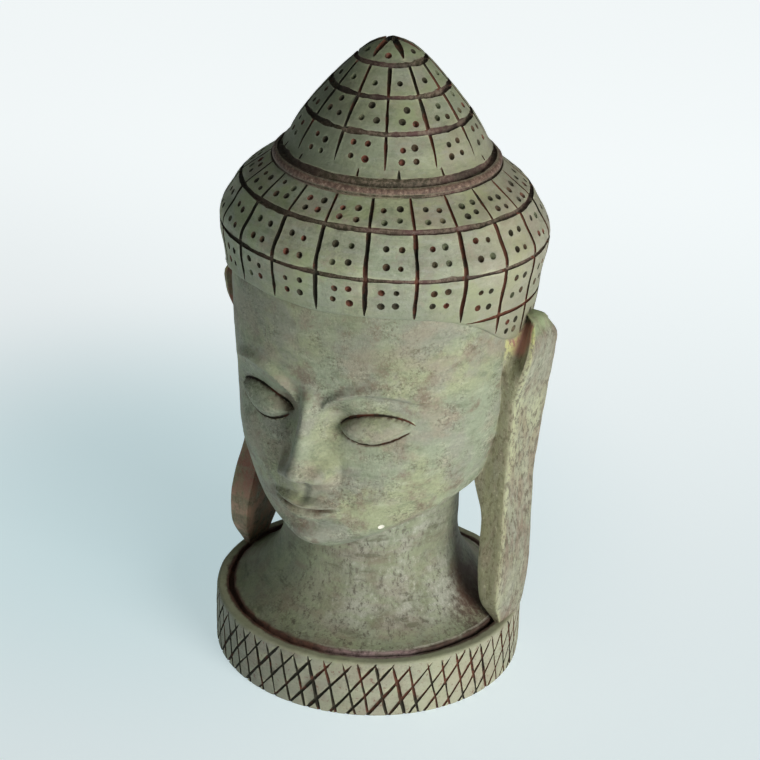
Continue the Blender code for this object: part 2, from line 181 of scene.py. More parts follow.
# Ears: height, inner face, outer face at its front and at its back, front edge and back edge
EAR_SECTIONS = (
    (-0.06, 0.930, 0.955, 0.975, 0.03, 0.20),
    (0.05, 0.905, 0.970, 0.990, -0.04, 0.26),
    (0.20, 0.865, 0.990, 1.003, -0.135, 0.29),
    (0.36, 0.845, 1.002, 1.008, -0.155, 0.305),
    (0.58, 0.820, 0.995, 1.005, -0.12, 0.305),
    (0.80, 0.790, 0.960, 1.000, -0.06, 0.305),
    (0.95, 0.720, 0.948, 1.000, -0.03, 0.300),
    (1.25, 0.700, 0.955, 1.020, -0.03, 0.300),
    (1.60, 0.700, 0.985, 1.055, -0.06, 0.295),
    (1.75, 0.700, 1.030, 1.075, -0.10, 0.290),
    (1.90, 0.720, 1.075, 1.095, -0.14, 0.275),
    (2.02, 0.750, 1.085, 1.100, -0.125, 0.250),
    (2.10, 0.800, 1.045, 1.060, -0.03, 0.190),
)
EAR_CORNER = 0.19
EAR_SCOOP = 0.120
EAR_RECESS = (0.0396, -0.0020, 0.0965)
FOOT_LEAN_HEIGHT = 1.2

# Small rounds and swellings that the solid leaves out
EDGE_ROUND = 0.0006
LIP_SWELL = 0.0004
LIP_ROUND = 0.026
EAR_CROWN = 0.045

# Fineness of the skin: about the length of an edge, and how many columns and rows go round each form
FACE_GRAIN = 0.00054
SKIN_GRAIN = 0.00110
BACK_GRAIN = 0.00160
BASE_COLUMNS = 170
CAP_COLUMNS = 182
CAP_ROWS = 42
CONE_COLUMNS = 138
EAR_COLUMNS = 44
EAR_ROWS = 70

# A number for each form, kept on its faces
ZONES = {"base": 1, "head": 2, "cap": 3, "cone": 4, "ear": 5, "cut": 6, "dot": 7, "band": 8, "chip": 9}

# Cuts on the cap and cone: half-widths, the share of them that their middle lies deep, the depth of the
# shallow ones, the number of points along each, and their ends
TILE_CUT = 0.00066
RING_CUTS = {2.82: 0.00060, 2.56: 0.00054, 2.25: 0.00050, 1.86: 0.00044}
CONE_CUT = 0.00054
CONE_RING_CUT = 0.00072
CUT_SINK = 0.66
SHALLOW_SINK = 0.0002
RING_POINTS = 150
SIDE_RING_POINTS = 120
CAP_CUT_POINTS = 46
CONE_CUT_POINTS = 30
TICK_POINTS = 5
CAP_CUT_TOP = 2.975
CONE_CUT_ENDS = (3.605, 3.095)
TICK_ENDS = (3.055, 3.095)
FOOT_GROOVE = 3.026
BEAD_GROOVE = (2.967, 0.692)
CROWN_CUTS = 6
CROWN_TURN = math.radians(-8)
CROWN_CUT_ENDS = (3.697, 3.628)

# A cut's tube: how many sides it has, and its radius as a share of the cut's half-width
PROFILE_SIDES = 6
PROFILE_RADIUS = 1.2

# Ring cuts that stop at the sides of the face, with the angle in degrees at which they start
SIDE_RINGS = {2.25: 57, 1.86: 101}

# Drilled dots: radius, depth, half the gap between their middles, how far a tile's dots stray together and
# alone, the height of the lowest row that holds dots and of the lowest whole one, and the patterns
DOT_RADIUS = 0.00087
DOT_DEPTH = 0.00105
DOT_GAP = 0.00170
TILE_SHIFT = 0.00040
DOT_STRAY = 0.00030
NARROW_ROW = 0.07
WHOLE_ROW = 0.17
CONE_DOTS_START = 3.085
CROWN_DOTS = (3.612, 3.692)
FOUR_DOTS = [(x, z) for x in (-DOT_GAP, DOT_GAP) for z in (-0.17, 0.17)]
THREE_DOTS = [(-DOT_GAP, -0.16), (DOT_GAP, -0.16), (0.0, 0.24)]
TWO_DOTS = [(-DOT_GAP, 0.0), (DOT_GAP, 0.0)]
ONE_DOT = [(0.0, 0.0)]

# The drill: the radii of its wide and narrow end and its length, as shares of the dot's radius and depth
DRILL_TOP = 1.28
DRILL_TIP = 0.42
DRILL_LENGTH = 1.7

# The chip in the jaw: its distance from the middle of the face, and its height
CHIP = (0.42, 0.85)

# How far off the skin the rays start that measure how hollow and how worn it is
RAY_START = 0.00008

# The camera's own right. The paint differs from side to side, partly as painted light and shade: paler
# towards this side, where the key light stands, and darker away from it.
RIGHT = (0.88, 0.47, 0.0)

# Camera: its turn round the head, how far it looks down, its distance in units, and its focal length
CAMERA_TURN = math.radians(28)
CAMERA_RISE = math.radians(32.24)
CAMERA_DISTANCE = 14.78
FOCAL_PIXELS = 2200
PICTURE_PIXELS = 760
SENSOR_WIDTH = 36


def ease(start, end, value):
    """0 at the start, 1 at the end, and smooth between them."""
    t = np.clip((value - start) / (end - start), 0.0, 1.0)
    return t * t * (3 - 2 * t)


def bump(x, z, form):
    middle, height, half_width, half_height, rise = form
    return rise * np.exp(-(((x - middle) / half_width) ** 2) - ((z - height) / half_height) ** 2)


def arch(t):
    """A half ellipse over t from 0 to 1, and 0 elsewhere."""
    return np.sqrt(np.clip(4 * t * (1 - t), 0.0, 1.0))


def between(table, height, column):
    """A value of a table at a height, on a smooth curve through the table's points."""
    heights = np.array([row[0] for row in table], float)
    values = np.array([row[column] for row in table], float)
    slopes = np.gradient(values, heights)
    i = np.clip(np.searchsorted(heights, height) - 1, 0, len(heights) - 2)
    span = heights[i + 1] - heights[i]
    t = np.clip((height - heights[i]) / span, 0.0, 1.0)
    return (
        values[i] * (1 - t) ** 2 * (1 + 2 * t)
        + slopes[i] * span * t * (1 - t) ** 2
        + values[i + 1] * t**2 * (3 - 2 * t)
        - slopes[i + 1] * span * t**2 * (1 - t)
    )


def squared(value, power):
    return np.sign(value) * np.abs(value) ** power


def height_of(level):
    """The height in metres of a level of the head."""
    return BASE_HEIGHT + level * CAP_HALF_WIDTH


def on_round(radius, angle, z):
    """Points at an angle from the middle of the face, turning towards +X."""
    return np.stack(np.broadcast_arrays(radius * np.sin(angle), -radius * np.cos(angle), z), axis=-1)


def placed(x, y, z):
    """Points in metres, from places in units."""
    x, y, z = np.broadcast_arrays(x, y, z)
    return np.stack((x * CAP_HALF_WIDTH, y * CAP_HALF_WIDTH, height_of(z)), axis=-1)


def mesh_object(name, points, edges=(), faces=()):
    mesh = bpy.data.meshes.new(name)
    mesh.from_pydata(np.reshape(points, (-1, 3)).tolist(), list(edges), list(faces))
    mesh.update()
    obj = bpy.data.objects.new(name, mesh)
    bpy.context.scene.collection.objects.link(obj)
    return obj


def store(mesh, name, values, domain="POINT"):
    """Keeps one number for each point or face, under a name that the materials and node trees read."""
    attribute = mesh.attributes.get(name) or mesh.attributes.new(name, "FLOAT", domain)
    attribute.data.foreach_set("value", np.asarray(values, np.float32))


def read(mesh, name):
    """The numbers that the mesh keeps under a name."""
    values = np.zeros(len(mesh.attributes[name].data), np.float32)
    mesh.attributes[name].data.foreach_get("value", values)
    return values


def zoned(obj, zone):
    """Marks all the faces of a form as one zone's."""
    store(obj.data, "zone", np.full(len(obj.data.polygons), ZONES[zone]), "FACE")
    return obj


def loft(name, rows, zone):
    """A closed form through rows of points, from the bottom up, with a fan at each end."""
    rows = np.asarray(rows)
    height, count = rows.shape[:2]
    here = np.arange(height * count).reshape(height, count)
    after = np.roll(here, -1, axis=1)
    quads = np.stack((here[:-1], after[:-1], after[1:], here[1:]), axis=-1).reshape(-1, 4)
    bottom, top = height * count, height * count + 1
    fans = [(b, a, bottom) for a, b in zip(here[0], after[0])]
    fans += [(a, b, top) for a, b in zip(here[-1], after[-1])]
    points = np.vstack((rows.reshape(-1, 3), rows[0].mean(0), rows[-1].mean(0)))
    faces = quads.tolist() + [tuple(int(n) for n in fan) for fan in fans]
    return zoned(mesh_object(name, points, faces=faces), zone)


def waves(angle, counts, amount, phase):
    """A gentle unevenness round the form, that closes on itself."""
    return amount * sum(np.sin(n * angle + phase * (k + 1)) for k, n in enumerate(counts)) / len(counts)


def around(count):
    return np.linspace(0.0, 2 * math.pi, count, endpoint=False)


def base_form():
    """The drum with its rim and ring groove, the shoulder dish and the neck, which ends inside the head."""
    rim_inner = BASE_RADIUS - RIM_WIDTH
    dish_edge = rim_inner - GROOVE_WIDTH
    middle = (rim_inner + dish_edge) / 2
    quarter = np.linspace(0.0, math.pi / 2, 5)
    from_side, from_top = 1 - np.cos(quarter), 1 - np.sin(quarter)
    half = np.linspace(0.0, math.pi, 9)
    groove = BASE_HEIGHT - GROOVE_DEPTH * np.sin(half) ** 0.6
    wall = np.arange(2 * EDGE_ROUND, BASE_HEIGHT - 1.5 * RIM_ROUND, SKIN_GRAIN)
    t = np.linspace(0.0, 1.0, 32) ** 1.15
    dish = NECK_RADIUS + (dish_edge - NECK_RADIUS) * (1 - t) ** DISH_BOW
    neck = np.arange(BASE_HEIGHT + DISH_HEIGHT + SKIN_GRAIN, height_of(NOSE_BASE), 1.5 * SKIN_GRAIN)
    outline = np.vstack((
        [(BASE_RADIUS * share, 0.0) for share in (0.4, 0.75, 0.93)],
        np.column_stack((BASE_RADIUS - EDGE_ROUND * from_top, EDGE_ROUND * from_side)),
        np.column_stack((np.full_like(wall, BASE_RADIUS), wall)),
        np.column_stack((BASE_RADIUS - RIM_ROUND * from_side, BASE_HEIGHT - RIM_ROUND * from_top)),
        [(BASE_RADIUS - RIM_WIDTH * share, BASE_HEIGHT) for share in (0.55, 0.85)],
        np.column_stack((middle + GROOVE_WIDTH / 2 * np.cos(half), groove)),
        np.column_stack((dish, BASE_HEIGHT + DISH_HEIGHT * t))[1:],
        np.column_stack((np.full_like(neck, NECK_RADIUS), neck)),
    ))
    angle = around(BASE_COLUMNS)[None, :]
    radius, z = outline[:, :1], outline[:, 1:]
    at_lip = np.exp(-(((radius - dish_edge) / 0.0011) ** 2)) * (z > BASE_HEIGHT - GROOVE_DEPTH / 2)
    at_groove = np.exp(-(((radius - middle) / 0.0016) ** 2)) * (z > BASE_HEIGHT / 2)
    z = z + at_lip * (LIP_SWELL + waves(angle, (5, 9, 17, 31), 0.0004, 1.3))
    radius = radius + at_groove * waves(angle, (4, 7, 13, 23, 37), 0.0005, 0.7)
    return loft("base_form", on_round(radius, angle, z), "base")


def eye_edges(across):
    """The lower and upper edge of a lid, whose outer corner is a little higher, and its reach there."""
    reach = np.clip(1 - across**2, 0.0, 1.0)
    line = EYE_LINE + EYE_SLANT * across
    return line - LOWER_LID * reach, line + UPPER_LID * reach**0.8, reach


def eye_rise(x, z):
    """A lowered lid: an almond between two arcs."""
    low, high, reach = eye_edges((x - EYE_MIDDLE) / EYE_HALF_LENGTH)
    return LID_RISE * reach**0.4 * arch((z - low) / np.maximum(high - low, 1e-6)) ** 1.3


def brow_line(x):
    """The height of the brow, which springs from the bridge of the nose and arches over the eye."""
    rising = np.clip((x - BROW_START[0]) / (BROW_TOP[0] - BROW_START[0]), 0.0, 1.0)
    line = BROW_START[1] + (BROW_TOP[1] - BROW_START[1]) * np.sin(rising**0.8 * math.pi / 2)
    return line - 1.3 * np.clip(x - BROW_TOP[0], 0.0, None) ** 2


def brow_rise(x, z):
    """The thin ridge of the brow, sharper on its lower side."""
    line = brow_line(x)
    width = np.where(z > line, 0.040, 0.024)
    span = ease(0.02, 0.12, x) * ease(BROW_END, BROW_END - 0.22, x)
    return BROW_RISE * span * np.exp(-(((z - line) / width) ** 2))


def nose_rise(x, z):
    """The bridge of the nose, from between the brows to the tip."""
    t = (z - NOSE_BASE) / (BROW - NOSE_BASE)
    profile = NOSE_ROOT_SHARE + (1 - NOSE_ROOT_SHARE) * (1 - np.clip(t, 0.0, 1.0)) ** 1.1
    profile = profile * ease(-0.10, 0.17, t) * ease(1.15, 0.75, t)
    width = NOSE_HALF_WIDTH * (0.72 + 0.45 * ease(0.9, 0.0, t))
    return NOSE_RISE * profile * np.exp(-np.abs(x / width) ** 2.6)


def mouth_line(x):
    """The height of the line between the lips, which turns up at its ends."""
    return MOUTH + 0.035 * (x / LIP_HALF_WIDTH) ** 2


def lips_rise(x, z):
    """Two full lips. The upper one dips in the middle."""
    reach = np.clip(1 - (x / LIP_HALF_WIDTH) ** 2, 0.0, 1.0)
    line = mouth_line(x)
    upper = UPPER_LIP * reach * (1 - 0.28 * np.exp(-((x / 0.05) ** 2))) + 1e-6
    lower = LOWER_LIP * reach**0.8 + 1e-6
    t = np.where(z > line, (z - line) / upper, (line - z) / lower)
    return LIP_RISE * np.sqrt(reach) * arch(t) ** 1.4


def face_rise(x, z):
    """How far the face stands out from the plain head."""
    x = np.abs(x)
    soft = sum(bump(x, z, form) for form in FACE_FORMS.values())
    return soft + eye_rise(x, z) + brow_rise(x, z) + nose_rise(x, z) + lips_rise(x, z)


def head_row(angle, share):
    """Points of the head, in units, at a share of the way up from its edge, which is lowest at the chin."""
    low = CHIN + JAW_RISE * ease(0.0, JAW_ANGLE, np.abs(angle))
    z = low + (HEAD_TOP - low) * share
    facing = np.cos(angle) > 1e-9
    depth = np.where(facing, between(HEAD_SECTIONS, z, 2), between(HEAD_SECTIONS, z, 3))
    tuck = 1 - JAW_TUCK * np.clip(1 - (z - low) / JAW_ROUND, 0.0, None) ** 2
    power = np.where(facing, FACE_SQUARENESS, 1.0)
    x = between(HEAD_SECTIONS, z, 1) * tuck * squared(np.sin(angle), power)
    y = -depth * tuck * squared(np.cos(angle), power)
    return x, np.where(facing, y - face_rise(x, z), y), z


def head_form():
    """The head under its cap: fine over the features, less so over the cheeks, and coarse behind."""
    girth = 0.9 * CAP_HALF_WIDTH
    turns = [math.radians(degrees) for degrees in (-95, -50, 50, 95, 265)]
    grains = (SKIN_GRAIN, FACE_GRAIN, SKIN_GRAIN, BACK_GRAIN)
    angle = np.concatenate([
        np.linspace(start, end, round((end - start) * girth / grain), endpoint=False)
        for start, end, grain in zip(turns, turns[1:], grains)
    ])
    angle = (angle + math.pi) % (2 * math.pi) - math.pi
    forehead = BROW + 0.16
    share = (forehead - CHIN) / (HEAD_TOP - CHIN)
    face_rows = round((forehead - CHIN) * CAP_HALF_WIDTH / FACE_GRAIN)
    upper_rows = round((HEAD_TOP - forehead) * CAP_HALF_WIDTH / SKIN_GRAIN)
    shares = np.concatenate((np.linspace(0.0, share, face_rows), np.linspace(share, 1.0, upper_rows)[1:]))
    x, y, z = head_row(angle[None, :], shares[:, None])
    share = np.linspace(JAW_UNDERSIDE[0][0], 1.0, 12)[:-1, None]
    underside = placed(x[:1] * share, y[:1] * share, z[:1] + between(JAW_UNDERSIDE, share, 1))
    return loft("head_form", np.concatenate((underside, placed(x, y, z))), "head")


def hair_edge(angle):
    """The level of the cap's lower edge, high over the face and low at the nape."""
    angle = (angle + math.pi) % (2 * math.pi) - math.pi
    return np.maximum(between(HAIR_EDGE, np.degrees(np.abs(angle)), 1), HAIR_EDGE[-1][1])


def edge_at(turn):
    """The level of the cap's lower edge at a turn round the cap, which is flatter than a round."""
    return hair_edge(np.arctan2(np.sin(turn), CAP_DEPTH_SHARE * np.cos(turn)))


def cap_point(turn, level, inset=0.0):
    """A point on the cap's skin in metres, or a little under it."""
    radius = between(CAP_OUTLINE, level, 1) * CAP_HALF_WIDTH - inset
    return on_round(radius, turn, height_of(level)) * (1.0, CAP_DEPTH_SHARE, 1.0)


def cone_point(turn, level):
    """A point on the cone's skin in metres."""
    return on_round(between(CONE_OUTLINE, level, 1) * CAP_HALF_WIDTH, turn, height_of(level))


def cap_form():
    """The cap's lower tier. Its lower edge is a small rounded lip that stands out from the forehead."""
    turn = around(CAP_COLUMNS)[None, :]
    low = edge_at(turn)
    share = np.linspace(0.0, 1.0, CAP_ROWS)[:, None]
    skin = cap_point(turn, low + LIP_ROUND + (CAP_OUTLINE[-1][0] - low - LIP_ROUND) * share)
    quarter = np.linspace(0.0, math.pi / 2, 4)[:-1, None]
    inset = LIP_ROUND * CAP_HALF_WIDTH * (1 - np.cos(quarter))
    lip = cap_point(turn, low + LIP_ROUND * (1 - np.sin(quarter)), inset)[::-1]
    inner = cap_point(turn, low, 0.22 * CAP_HALF_WIDTH)
    return loft("cap_form", np.concatenate((inner, lip, skin)), "cap")


def cone_form():
    """The cone and the bead at its foot, whose lower half lies in the cap."""
    bead = np.linspace(CONE_OUTLINE[0][0], BEAD_TOP, 16)
    levels = np.concatenate((bead, np.linspace(BEAD_TOP + 0.02, CONE_OUTLINE[-1][0], 30)))[:, None]
    return loft("cone_form", cone_point(around(CONE_COLUMNS)[None, :], levels), "cone")


def rounded_box(count, corner):
    """Evenly spaced points round a box of half-size 1, whose corners are rounded."""
    fine = np.linspace(0.0, 2 * math.pi, 2001)
    x, y = squared(np.cos(fine), corner), squared(np.sin(fine), corner)
    way = np.concatenate(([0.0], np.cumsum(np.hypot(np.diff(x), np.diff(y)))))
    even = np.linspace(0.0, way[-1], count, endpoint=False)
    return np.interp(even, way, x), np.interp(even, way, y)


def ear_form(side):
    """One long ear, on the +X side for 1 and on the other for -1. Its lobe leans to meet the rim."""
    foot = BASE_RADIUS / CAP_HALF_WIDTH - 1
    high = EAR_SECTIONS[-1][0]
    levels = np.linspace(EAR_SECTIONS[0][0], high, EAR_ROWS)
    crown = np.linspace(0.0, math.pi / 2, 6)[1:]
    z = np.concatenate((levels, high + EAR_CROWN * np.sin(crown)))[:, None]
    shrink = np.concatenate((np.ones_like(levels), 0.35 + 0.65 * np.cos(crown)))[:, None]
    values = (between(EAR_SECTIONS, np.minimum(z, high), n) for n in (1, 2, 3, 4, 5))
    inner, outer_front, outer_back, front, back = values
    across, along = rounded_box(EAR_COLUMNS, EAR_CORNER)
    outwards, backwards = (1 + shrink * across) / 2, (1 + shrink * along) / 2
    outer = outer_front + (outer_back - outer_front) * backwards
    x = inner + (outer - inner) * outwards + foot * (1 - ease(0.0, FOOT_LEAN_HEIGHT, z))
    hollow = np.exp(-(((across - 0.40) / 0.40) ** 2)) * (1 - backwards) ** 2
    y = front + (back - front) * backwards + EAR_SCOOP * ease(1.74, 1.96, z) * hollow
    return loft("left_ear_form" if side > 0 else "right_ear_form", placed(side * x, y, z)[:, ::side], "ear")


def plain(obj):
    """Applies an object's modifiers, so that it is a plain mesh."""
    graph = bpy.context.evaluated_depsgraph_get()
    mesh = bpy.data.meshes.new_from_object(obj.evaluated_get(graph))
    obj.modifiers.clear()
    obj.data = mesh
    return obj


def combine(body, forms, operation):
    """Joins forms to a body, or cuts them out of it, and leaves one closed skin."""
    for form in forms:
        modifier = body.modifiers.new(form.name, "BOOLEAN")
        modifier.operation = operation
        modifier.solver = "MANIFOLD"
        modifier.object = form
    plain(body)
    for form in forms:
        bpy.data.objects.remove(form)
    return body


def node(tree, kind, settings=None, values=None, output=0):
    """Adds a node: first its settings, then its sockets' values or links. Returns one of its outputs."""
    added = tree.nodes.new(kind)
    for name, value in (settings or {}).items():
        setattr(added, name, value)
    for key, value in (values or {}).items():
        if isinstance(value, Link):
            tree.links.new(value.socket, added.inputs[key])
        else:
            added.inputs[key].default_value = value
    return Link(tree, added.outputs[output])


class Link:
    """A socket of a node tree. Operators on it add Math nodes, and its methods the nodes used most."""

    def __init__(self, tree, socket):
        self.tree = tree
        self.socket = socket

    def other(self, name):
        """Another output of the same node."""
        return Link(self.tree, self.socket.node.outputs[name])

    def math(self, operation, *others):
        return node(self.tree, "ShaderNodeMath", {"operation": operation}, dict(enumerate((self,) + others)))

    def reflected(self, operation, first):
        return node(self.tree, "ShaderNodeMath", {"operation": operation}, {0: first, 1: self})

    def __add__(self, other):
        return self.math("ADD", other)

    def __sub__(self, other):
        return self.math("SUBTRACT", other)

    def __rsub__(self, other):
        return self.reflected("SUBTRACT", other)

    def __mul__(self, other):
        return self.math("MULTIPLY", other)

    def __truediv__(self, other):
        return self.math("DIVIDE", other)

    def __rtruediv__(self, other):
        return self.reflected("DIVIDE", other)

    __radd__ = __add__
    __rmul__ = __mul__

    def vector(self, operation, *others):
        values = dict(enumerate((self,) + others))
        return node(self.tree, "ShaderNodeVectorMath", {"operation": operation}, values)

    def scaled(self, amount):
        return node(self.tree, "ShaderNodeVectorMath", {"operation": "SCALE"}, {0: self, "Scale": amount})

    def along(self, direction):
        """How far a place lies in a direction."""
        return self.vector("DOT_PRODUCT", direction).other("Value")

    def distance(self, place):
        return self.vector("DISTANCE", place).other("Value")

    def ramp(self, start, end, low=0.0, high=1.0):
        """A smooth step from low to high, as this value goes from start to end."""
        settings = {"interpolation_type": "SMOOTHSTEP"}
        return node(self.tree, "ShaderNodeMapRange", settings, {0: self, 1: start, 2: end, 3: low, 4: high})

    def noise(self, scale, detail, shift, roughness=0.5, output=0):
        """A cloudy pattern at a place. The shift picks another part of it."""
        values = {"Vector": self, "W": shift, "Scale": scale, "Detail": detail, "Roughness": roughness}
        return node(self.tree, "ShaderNodeTexNoise", {"noise_dimensions": "4D"}, values, output)

    def stroked(self, across, up):
        """The place, squeezed sideways and upwards, so that a pattern on it runs in strokes."""
        return node(self.tree, "ShaderNodeMapping", {}, {"Vector": self, "Scale": (across, across, up)})


def new_tree(name, inputs):
    """A Geometry Nodes tree with named inputs, and a link to each of them."""
    tree = bpy.data.node_groups.new(name, "GeometryNodeTree")
    tree.interface.new_socket("Geometry", in_out="OUTPUT", socket_type="NodeSocketGeometry")
    tree.interface.new_socket("Geometry", in_out="INPUT", socket_type="NodeSocketGeometry")
    tree.interface.new_socket("Material", in_out="INPUT", socket_type="NodeSocketMaterial")
    tree.interface.new_socket("Seed", in_out="INPUT", socket_type="NodeSocketInt")
    for label in inputs:
        tree.interface.new_socket(label, in_out="INPUT", socket_type="NodeSocketFloat")
    entry = tree.nodes.new("NodeGroupInput")
    return tree, {socket.name: Link(tree, socket) for socket in entry.outputs if socket.name}


def end_tree(tree, geometry, material):
    """Makes all that the tree placed real, gives it its material and ends the tree."""
    real = node(tree, "GeometryNodeRealizeInstances", {}, {0: geometry})
    finished = node(tree, "GeometryNodeSetMaterial", {}, {"Geometry": real, "Material": material})
    tree.links.new(finished.socket, tree.nodes.new("NodeGroupOutput").inputs[0])
    return tree


def grown(obj, tree, inputs, zone=None):
    """Runs a tree on an object, with its inputs set by their identifiers, and leaves a plain mesh."""
    modifier = obj.modifiers.new(tree.name, "NODES")
    modifier.node_group = tree
    for item in tree.interface.items_tree:
        if item.in_out == "INPUT" and item.name in inputs:
            modifier[item.identifier] = inputs[item.name]
    plain(obj)
    if zone:
        zoned(obj, zone)
    if zone == "dot":
        corners = np.array([face.vertices[0] for face in obj.data.polygons])
        store(obj.data, "paint", read(obj.data, "tint")[corners], "FACE")
    return obj


def random_value(tree, low, high, seed, offset=0):
    """A number for each point, between low and high."""
    values = {2: low, 3: high, "Seed": seed + offset}
    return node(tree, "FunctionNodeRandomValue", {"data_type": "FLOAT"}, values, output=1)


def named(tree, name, kind="FLOAT"):
    return node(tree, "GeometryNodeInputNamedAttribute", {"data_type": kind}, {"Name": name})


def kept(tree, geometry, name, value):
    """Keeps a number for each point under a name."""
    values = {"Geometry": geometry, "Name": name, "Value": value}
    return node(tree, "GeometryNodeStoreNamedAttribute", {"data_type": "FLOAT", "domain": "POINT"}, values)


def moved(tree, geometry, **way):
    """Sets the geometry's Position, or moves it by an Offset."""
    return node(tree, "GeometryNodeSetPosition", {}, {"Geometry": geometry} | way)


def swept(tree, curve, scale, material):
    """Ends a tree with closed tubes along a curve, whose width is the scale."""
    values = {"Resolution": PROFILE_SIDES, "Radius": PROFILE_RADIUS}
    profile = node(tree, "GeometryNodeCurvePrimitiveCircle", {"mode": "RADIUS"}, values)
    values = {"Curve": curve, "Profile Curve": profile, "Scale": scale, "Fill Caps": True}
    return end_tree(tree, node(tree, "GeometryNodeCurveToMesh", {}, values), material)


def blade_tree():
    """Leaning cuts round the base's wall, a little uneven in place, width and height."""
    tree, given = new_tree("leaning_cuts", ("Count", "Radius", "Lean", "Half-width", "Height", "Jitter"))
    seed = given["Seed"]
    points = node(tree, "GeometryNodePoints", {}, {"Count": given["Count"]})
    step = 2 * math.pi / given["Count"]
    turn = node(tree, "GeometryNodeInputIndex") * step + random_value(tree, -1.0, 1.0, seed) * given["Jitter"]
    points = kept(tree, points, "turn", turn)
    points = kept(tree, points, "reach", random_value(tree, 0.94, 1.0, seed, 1))
    points = kept(tree, points, "strength", random_value(tree, 0.78, 1.15, seed, 2))
    line = node(tree, "GeometryNodeCurvePrimitiveLine", {"mode": "POINTS"}, {0: (0, 0, -0.08), 1: (0, 0, 1)})
    line = node(tree, "GeometryNodeResampleCurve", {"mode": "COUNT"}, {"Curve": line, "Count": 11})
    lines = node(tree, "GeometryNodeInstanceOnPoints", {}, {"Points": points, "Instance": line})
    lines = node(tree, "GeometryNodeRealizeInstances", {}, {0: lines})

    way = node(tree, "ShaderNodeSeparateXYZ", {}, {0: node(tree, "GeometryNodeInputPosition")}, output=2)
    z = way * named(tree, "reach") * given["Height"]
    spot = node(tree, "ShaderNodeCombineXYZ", {}, {0: named(tree, "turn") * 20, 2: way * 1.6})
    drift = (spot.noise(1.0, 1.0, seed) - 0.5) * 0.03
    angle = named(tree, "turn") + z * given["Lean"].math("TANGENT") / given["Radius"] + drift
    fade = 1 - way.ramp(0.90, 1.0, 0.0, 0.80)
    width = given["Half-width"] * named(tree, "strength") * fade
    radius = given["Radius"] - width * CUT_SINK
    place = {0: radius * angle.math("SINE"), 1: radius * angle.math("COSINE") * -1, 2: z}
    lines = kept(tree, lines, "width", width)
    lines = moved(tree, lines, Position=node(tree, "ShaderNodeCombineXYZ", {}, place))
    return swept(tree, lines, named(tree, "width"), given["Material"])


def path_cut_tree():
    """Cuts along drawn paths. Each is as wide as its path's taper says, and drawn by an unsteady hand."""
    tree, given = new_tree("cuts_along_paths", ("Half-width", "Wobble", "Unevenness"))
    curve = node(tree, "GeometryNodeMeshToCurve", {}, {"Mesh": given["Geometry"]})
    place = node(tree, "GeometryNodeInputPosition")
    drift = place.noise(130.0, 2.0, given["Seed"], output="Color").vector("SUBTRACT", (0.5, 0.5, 0.5))
    curve = moved(tree, curve, Offset=drift.scaled(given["Wobble"] * named(tree, "taper")))
    rough = 1 + (place.noise(420.0, 2.0, given["Seed"] + 9) - 0.5) * given["Unevenness"]
    return swept(tree, curve, named(tree, "taper") * rough * given["Half-width"], given["Material"])


def dot_tree():
    """Small drilled pits, one at each point, facing out of the skin, each a little different."""
    tree, given = new_tree("drilled_dots", ("Radius", "Depth", "Tilt"))
    seed = given["Seed"]
    values = {
        "Vertices": 10,
        "Radius Top": given["Radius"] * DRILL_TOP,
        "Radius Bottom": given["Radius"] * DRILL_TIP,
        "Depth": given["Depth"] * DRILL_LENGTH,
    }
    drill = node(tree, "GeometryNodeMeshCone", {"fill_type": "NGON"}, values)
    sunk = node(tree, "ShaderNodeCombineXYZ", {}, {2: given["Depth"] * -1})
    drill = node(tree, "GeometryNodeTransform", {}, {"Geometry": drill, "Translation": sunk})
    values = {0: (-1, -1, -1), 1: (1, 1, 1), "Seed": seed}
    tilt = node(tree, "FunctionNodeRandomValue", {"data_type": "FLOAT_VECTOR"}, values)
    aim = named(tree, "outwards", "FLOAT_VECTOR").vector("ADD", tilt.scaled(given["Tilt"]))
    turn = node(tree, "FunctionNodeAlignRotationToVector", {"axis": "Z"}, {"Vector": aim})
    width = random_value(tree, 0.84, 1.12, seed, 1)
    deep = random_value(tree, 0.75, 1.15, seed, 2)
    size = node(tree, "ShaderNodeCombineXYZ", {}, {0: width, 1: width, 2: deep})
    values = {"Points": kept(tree, given["Geometry"], "tint", random_value(tree, 0.0, 1.0, seed, 3))}
    values |= {"Instance": drill, "Rotation": turn, "Scale": size}
    return end_tree(tree, node(tree, "GeometryNodeInstanceOnPoints", {}, values), given["Material"])


def paths(name, lines, closed=False):
    """A mesh of drawn lines. Each is an array of points, and their shares of the cut's full width."""
    points, edges, taper = [], [], []
    for line, share in lines:
        start = sum(len(part) for part in points)
        count = len(line)
        points.append(line)
        taper.append(np.broadcast_to(share, count))
        edges += [(start + n, start + n + 1) for n in range(count - 1)]
        if closed:
            edges.append((start + count - 1, start))
    obj = mesh_object(name, np.concatenate(points), edges=edges)
    store(obj.data, "taper", np.concatenate(taper))
    return obj


def dots(name, points, outwards):
    obj = mesh_object(name, points)
    attribute = obj.data.attributes.new("outwards", "FLOAT_VECTOR", "POINT")
    attribute.data.foreach_set("vector", np.asarray(outwards, np.float32).ravel())
    return obj


def outward(point, turn, level):
    """The direction straight out of a form at a turn and a level, from points a little way off."""
    small = 1e-3
    along = point(turn + small, level) - point(turn - small, level)
    up = point(turn, level + small) - point(turn, level - small)
    normal = np.cross(along, up)
    return normal / np.linalg.norm(normal, axis=-1, keepdims=True)


def ends(count, start, end):
    """A cut's width along its way: full in the middle, and running out to a point at its start or end."""
    t = np.linspace(0.0, 1.0, count)
    share = np.ones(count)
    if start:
        share *= np.sqrt(np.clip(t / start, 0.0, 1.0))
    if end:
        share *= np.sqrt(np.clip((1 - t) / end, 0.0, 1.0))
    return np.maximum(share, 0.06)


def drawn(point, turn, level, depth, share=1.0):
    """A line for a cut, at a depth under the skin that shrinks with its share of the cut's full width."""
    return point(turn, level) - outward(point, turn, level) * np.reshape(depth * share, (-1, 1)), share


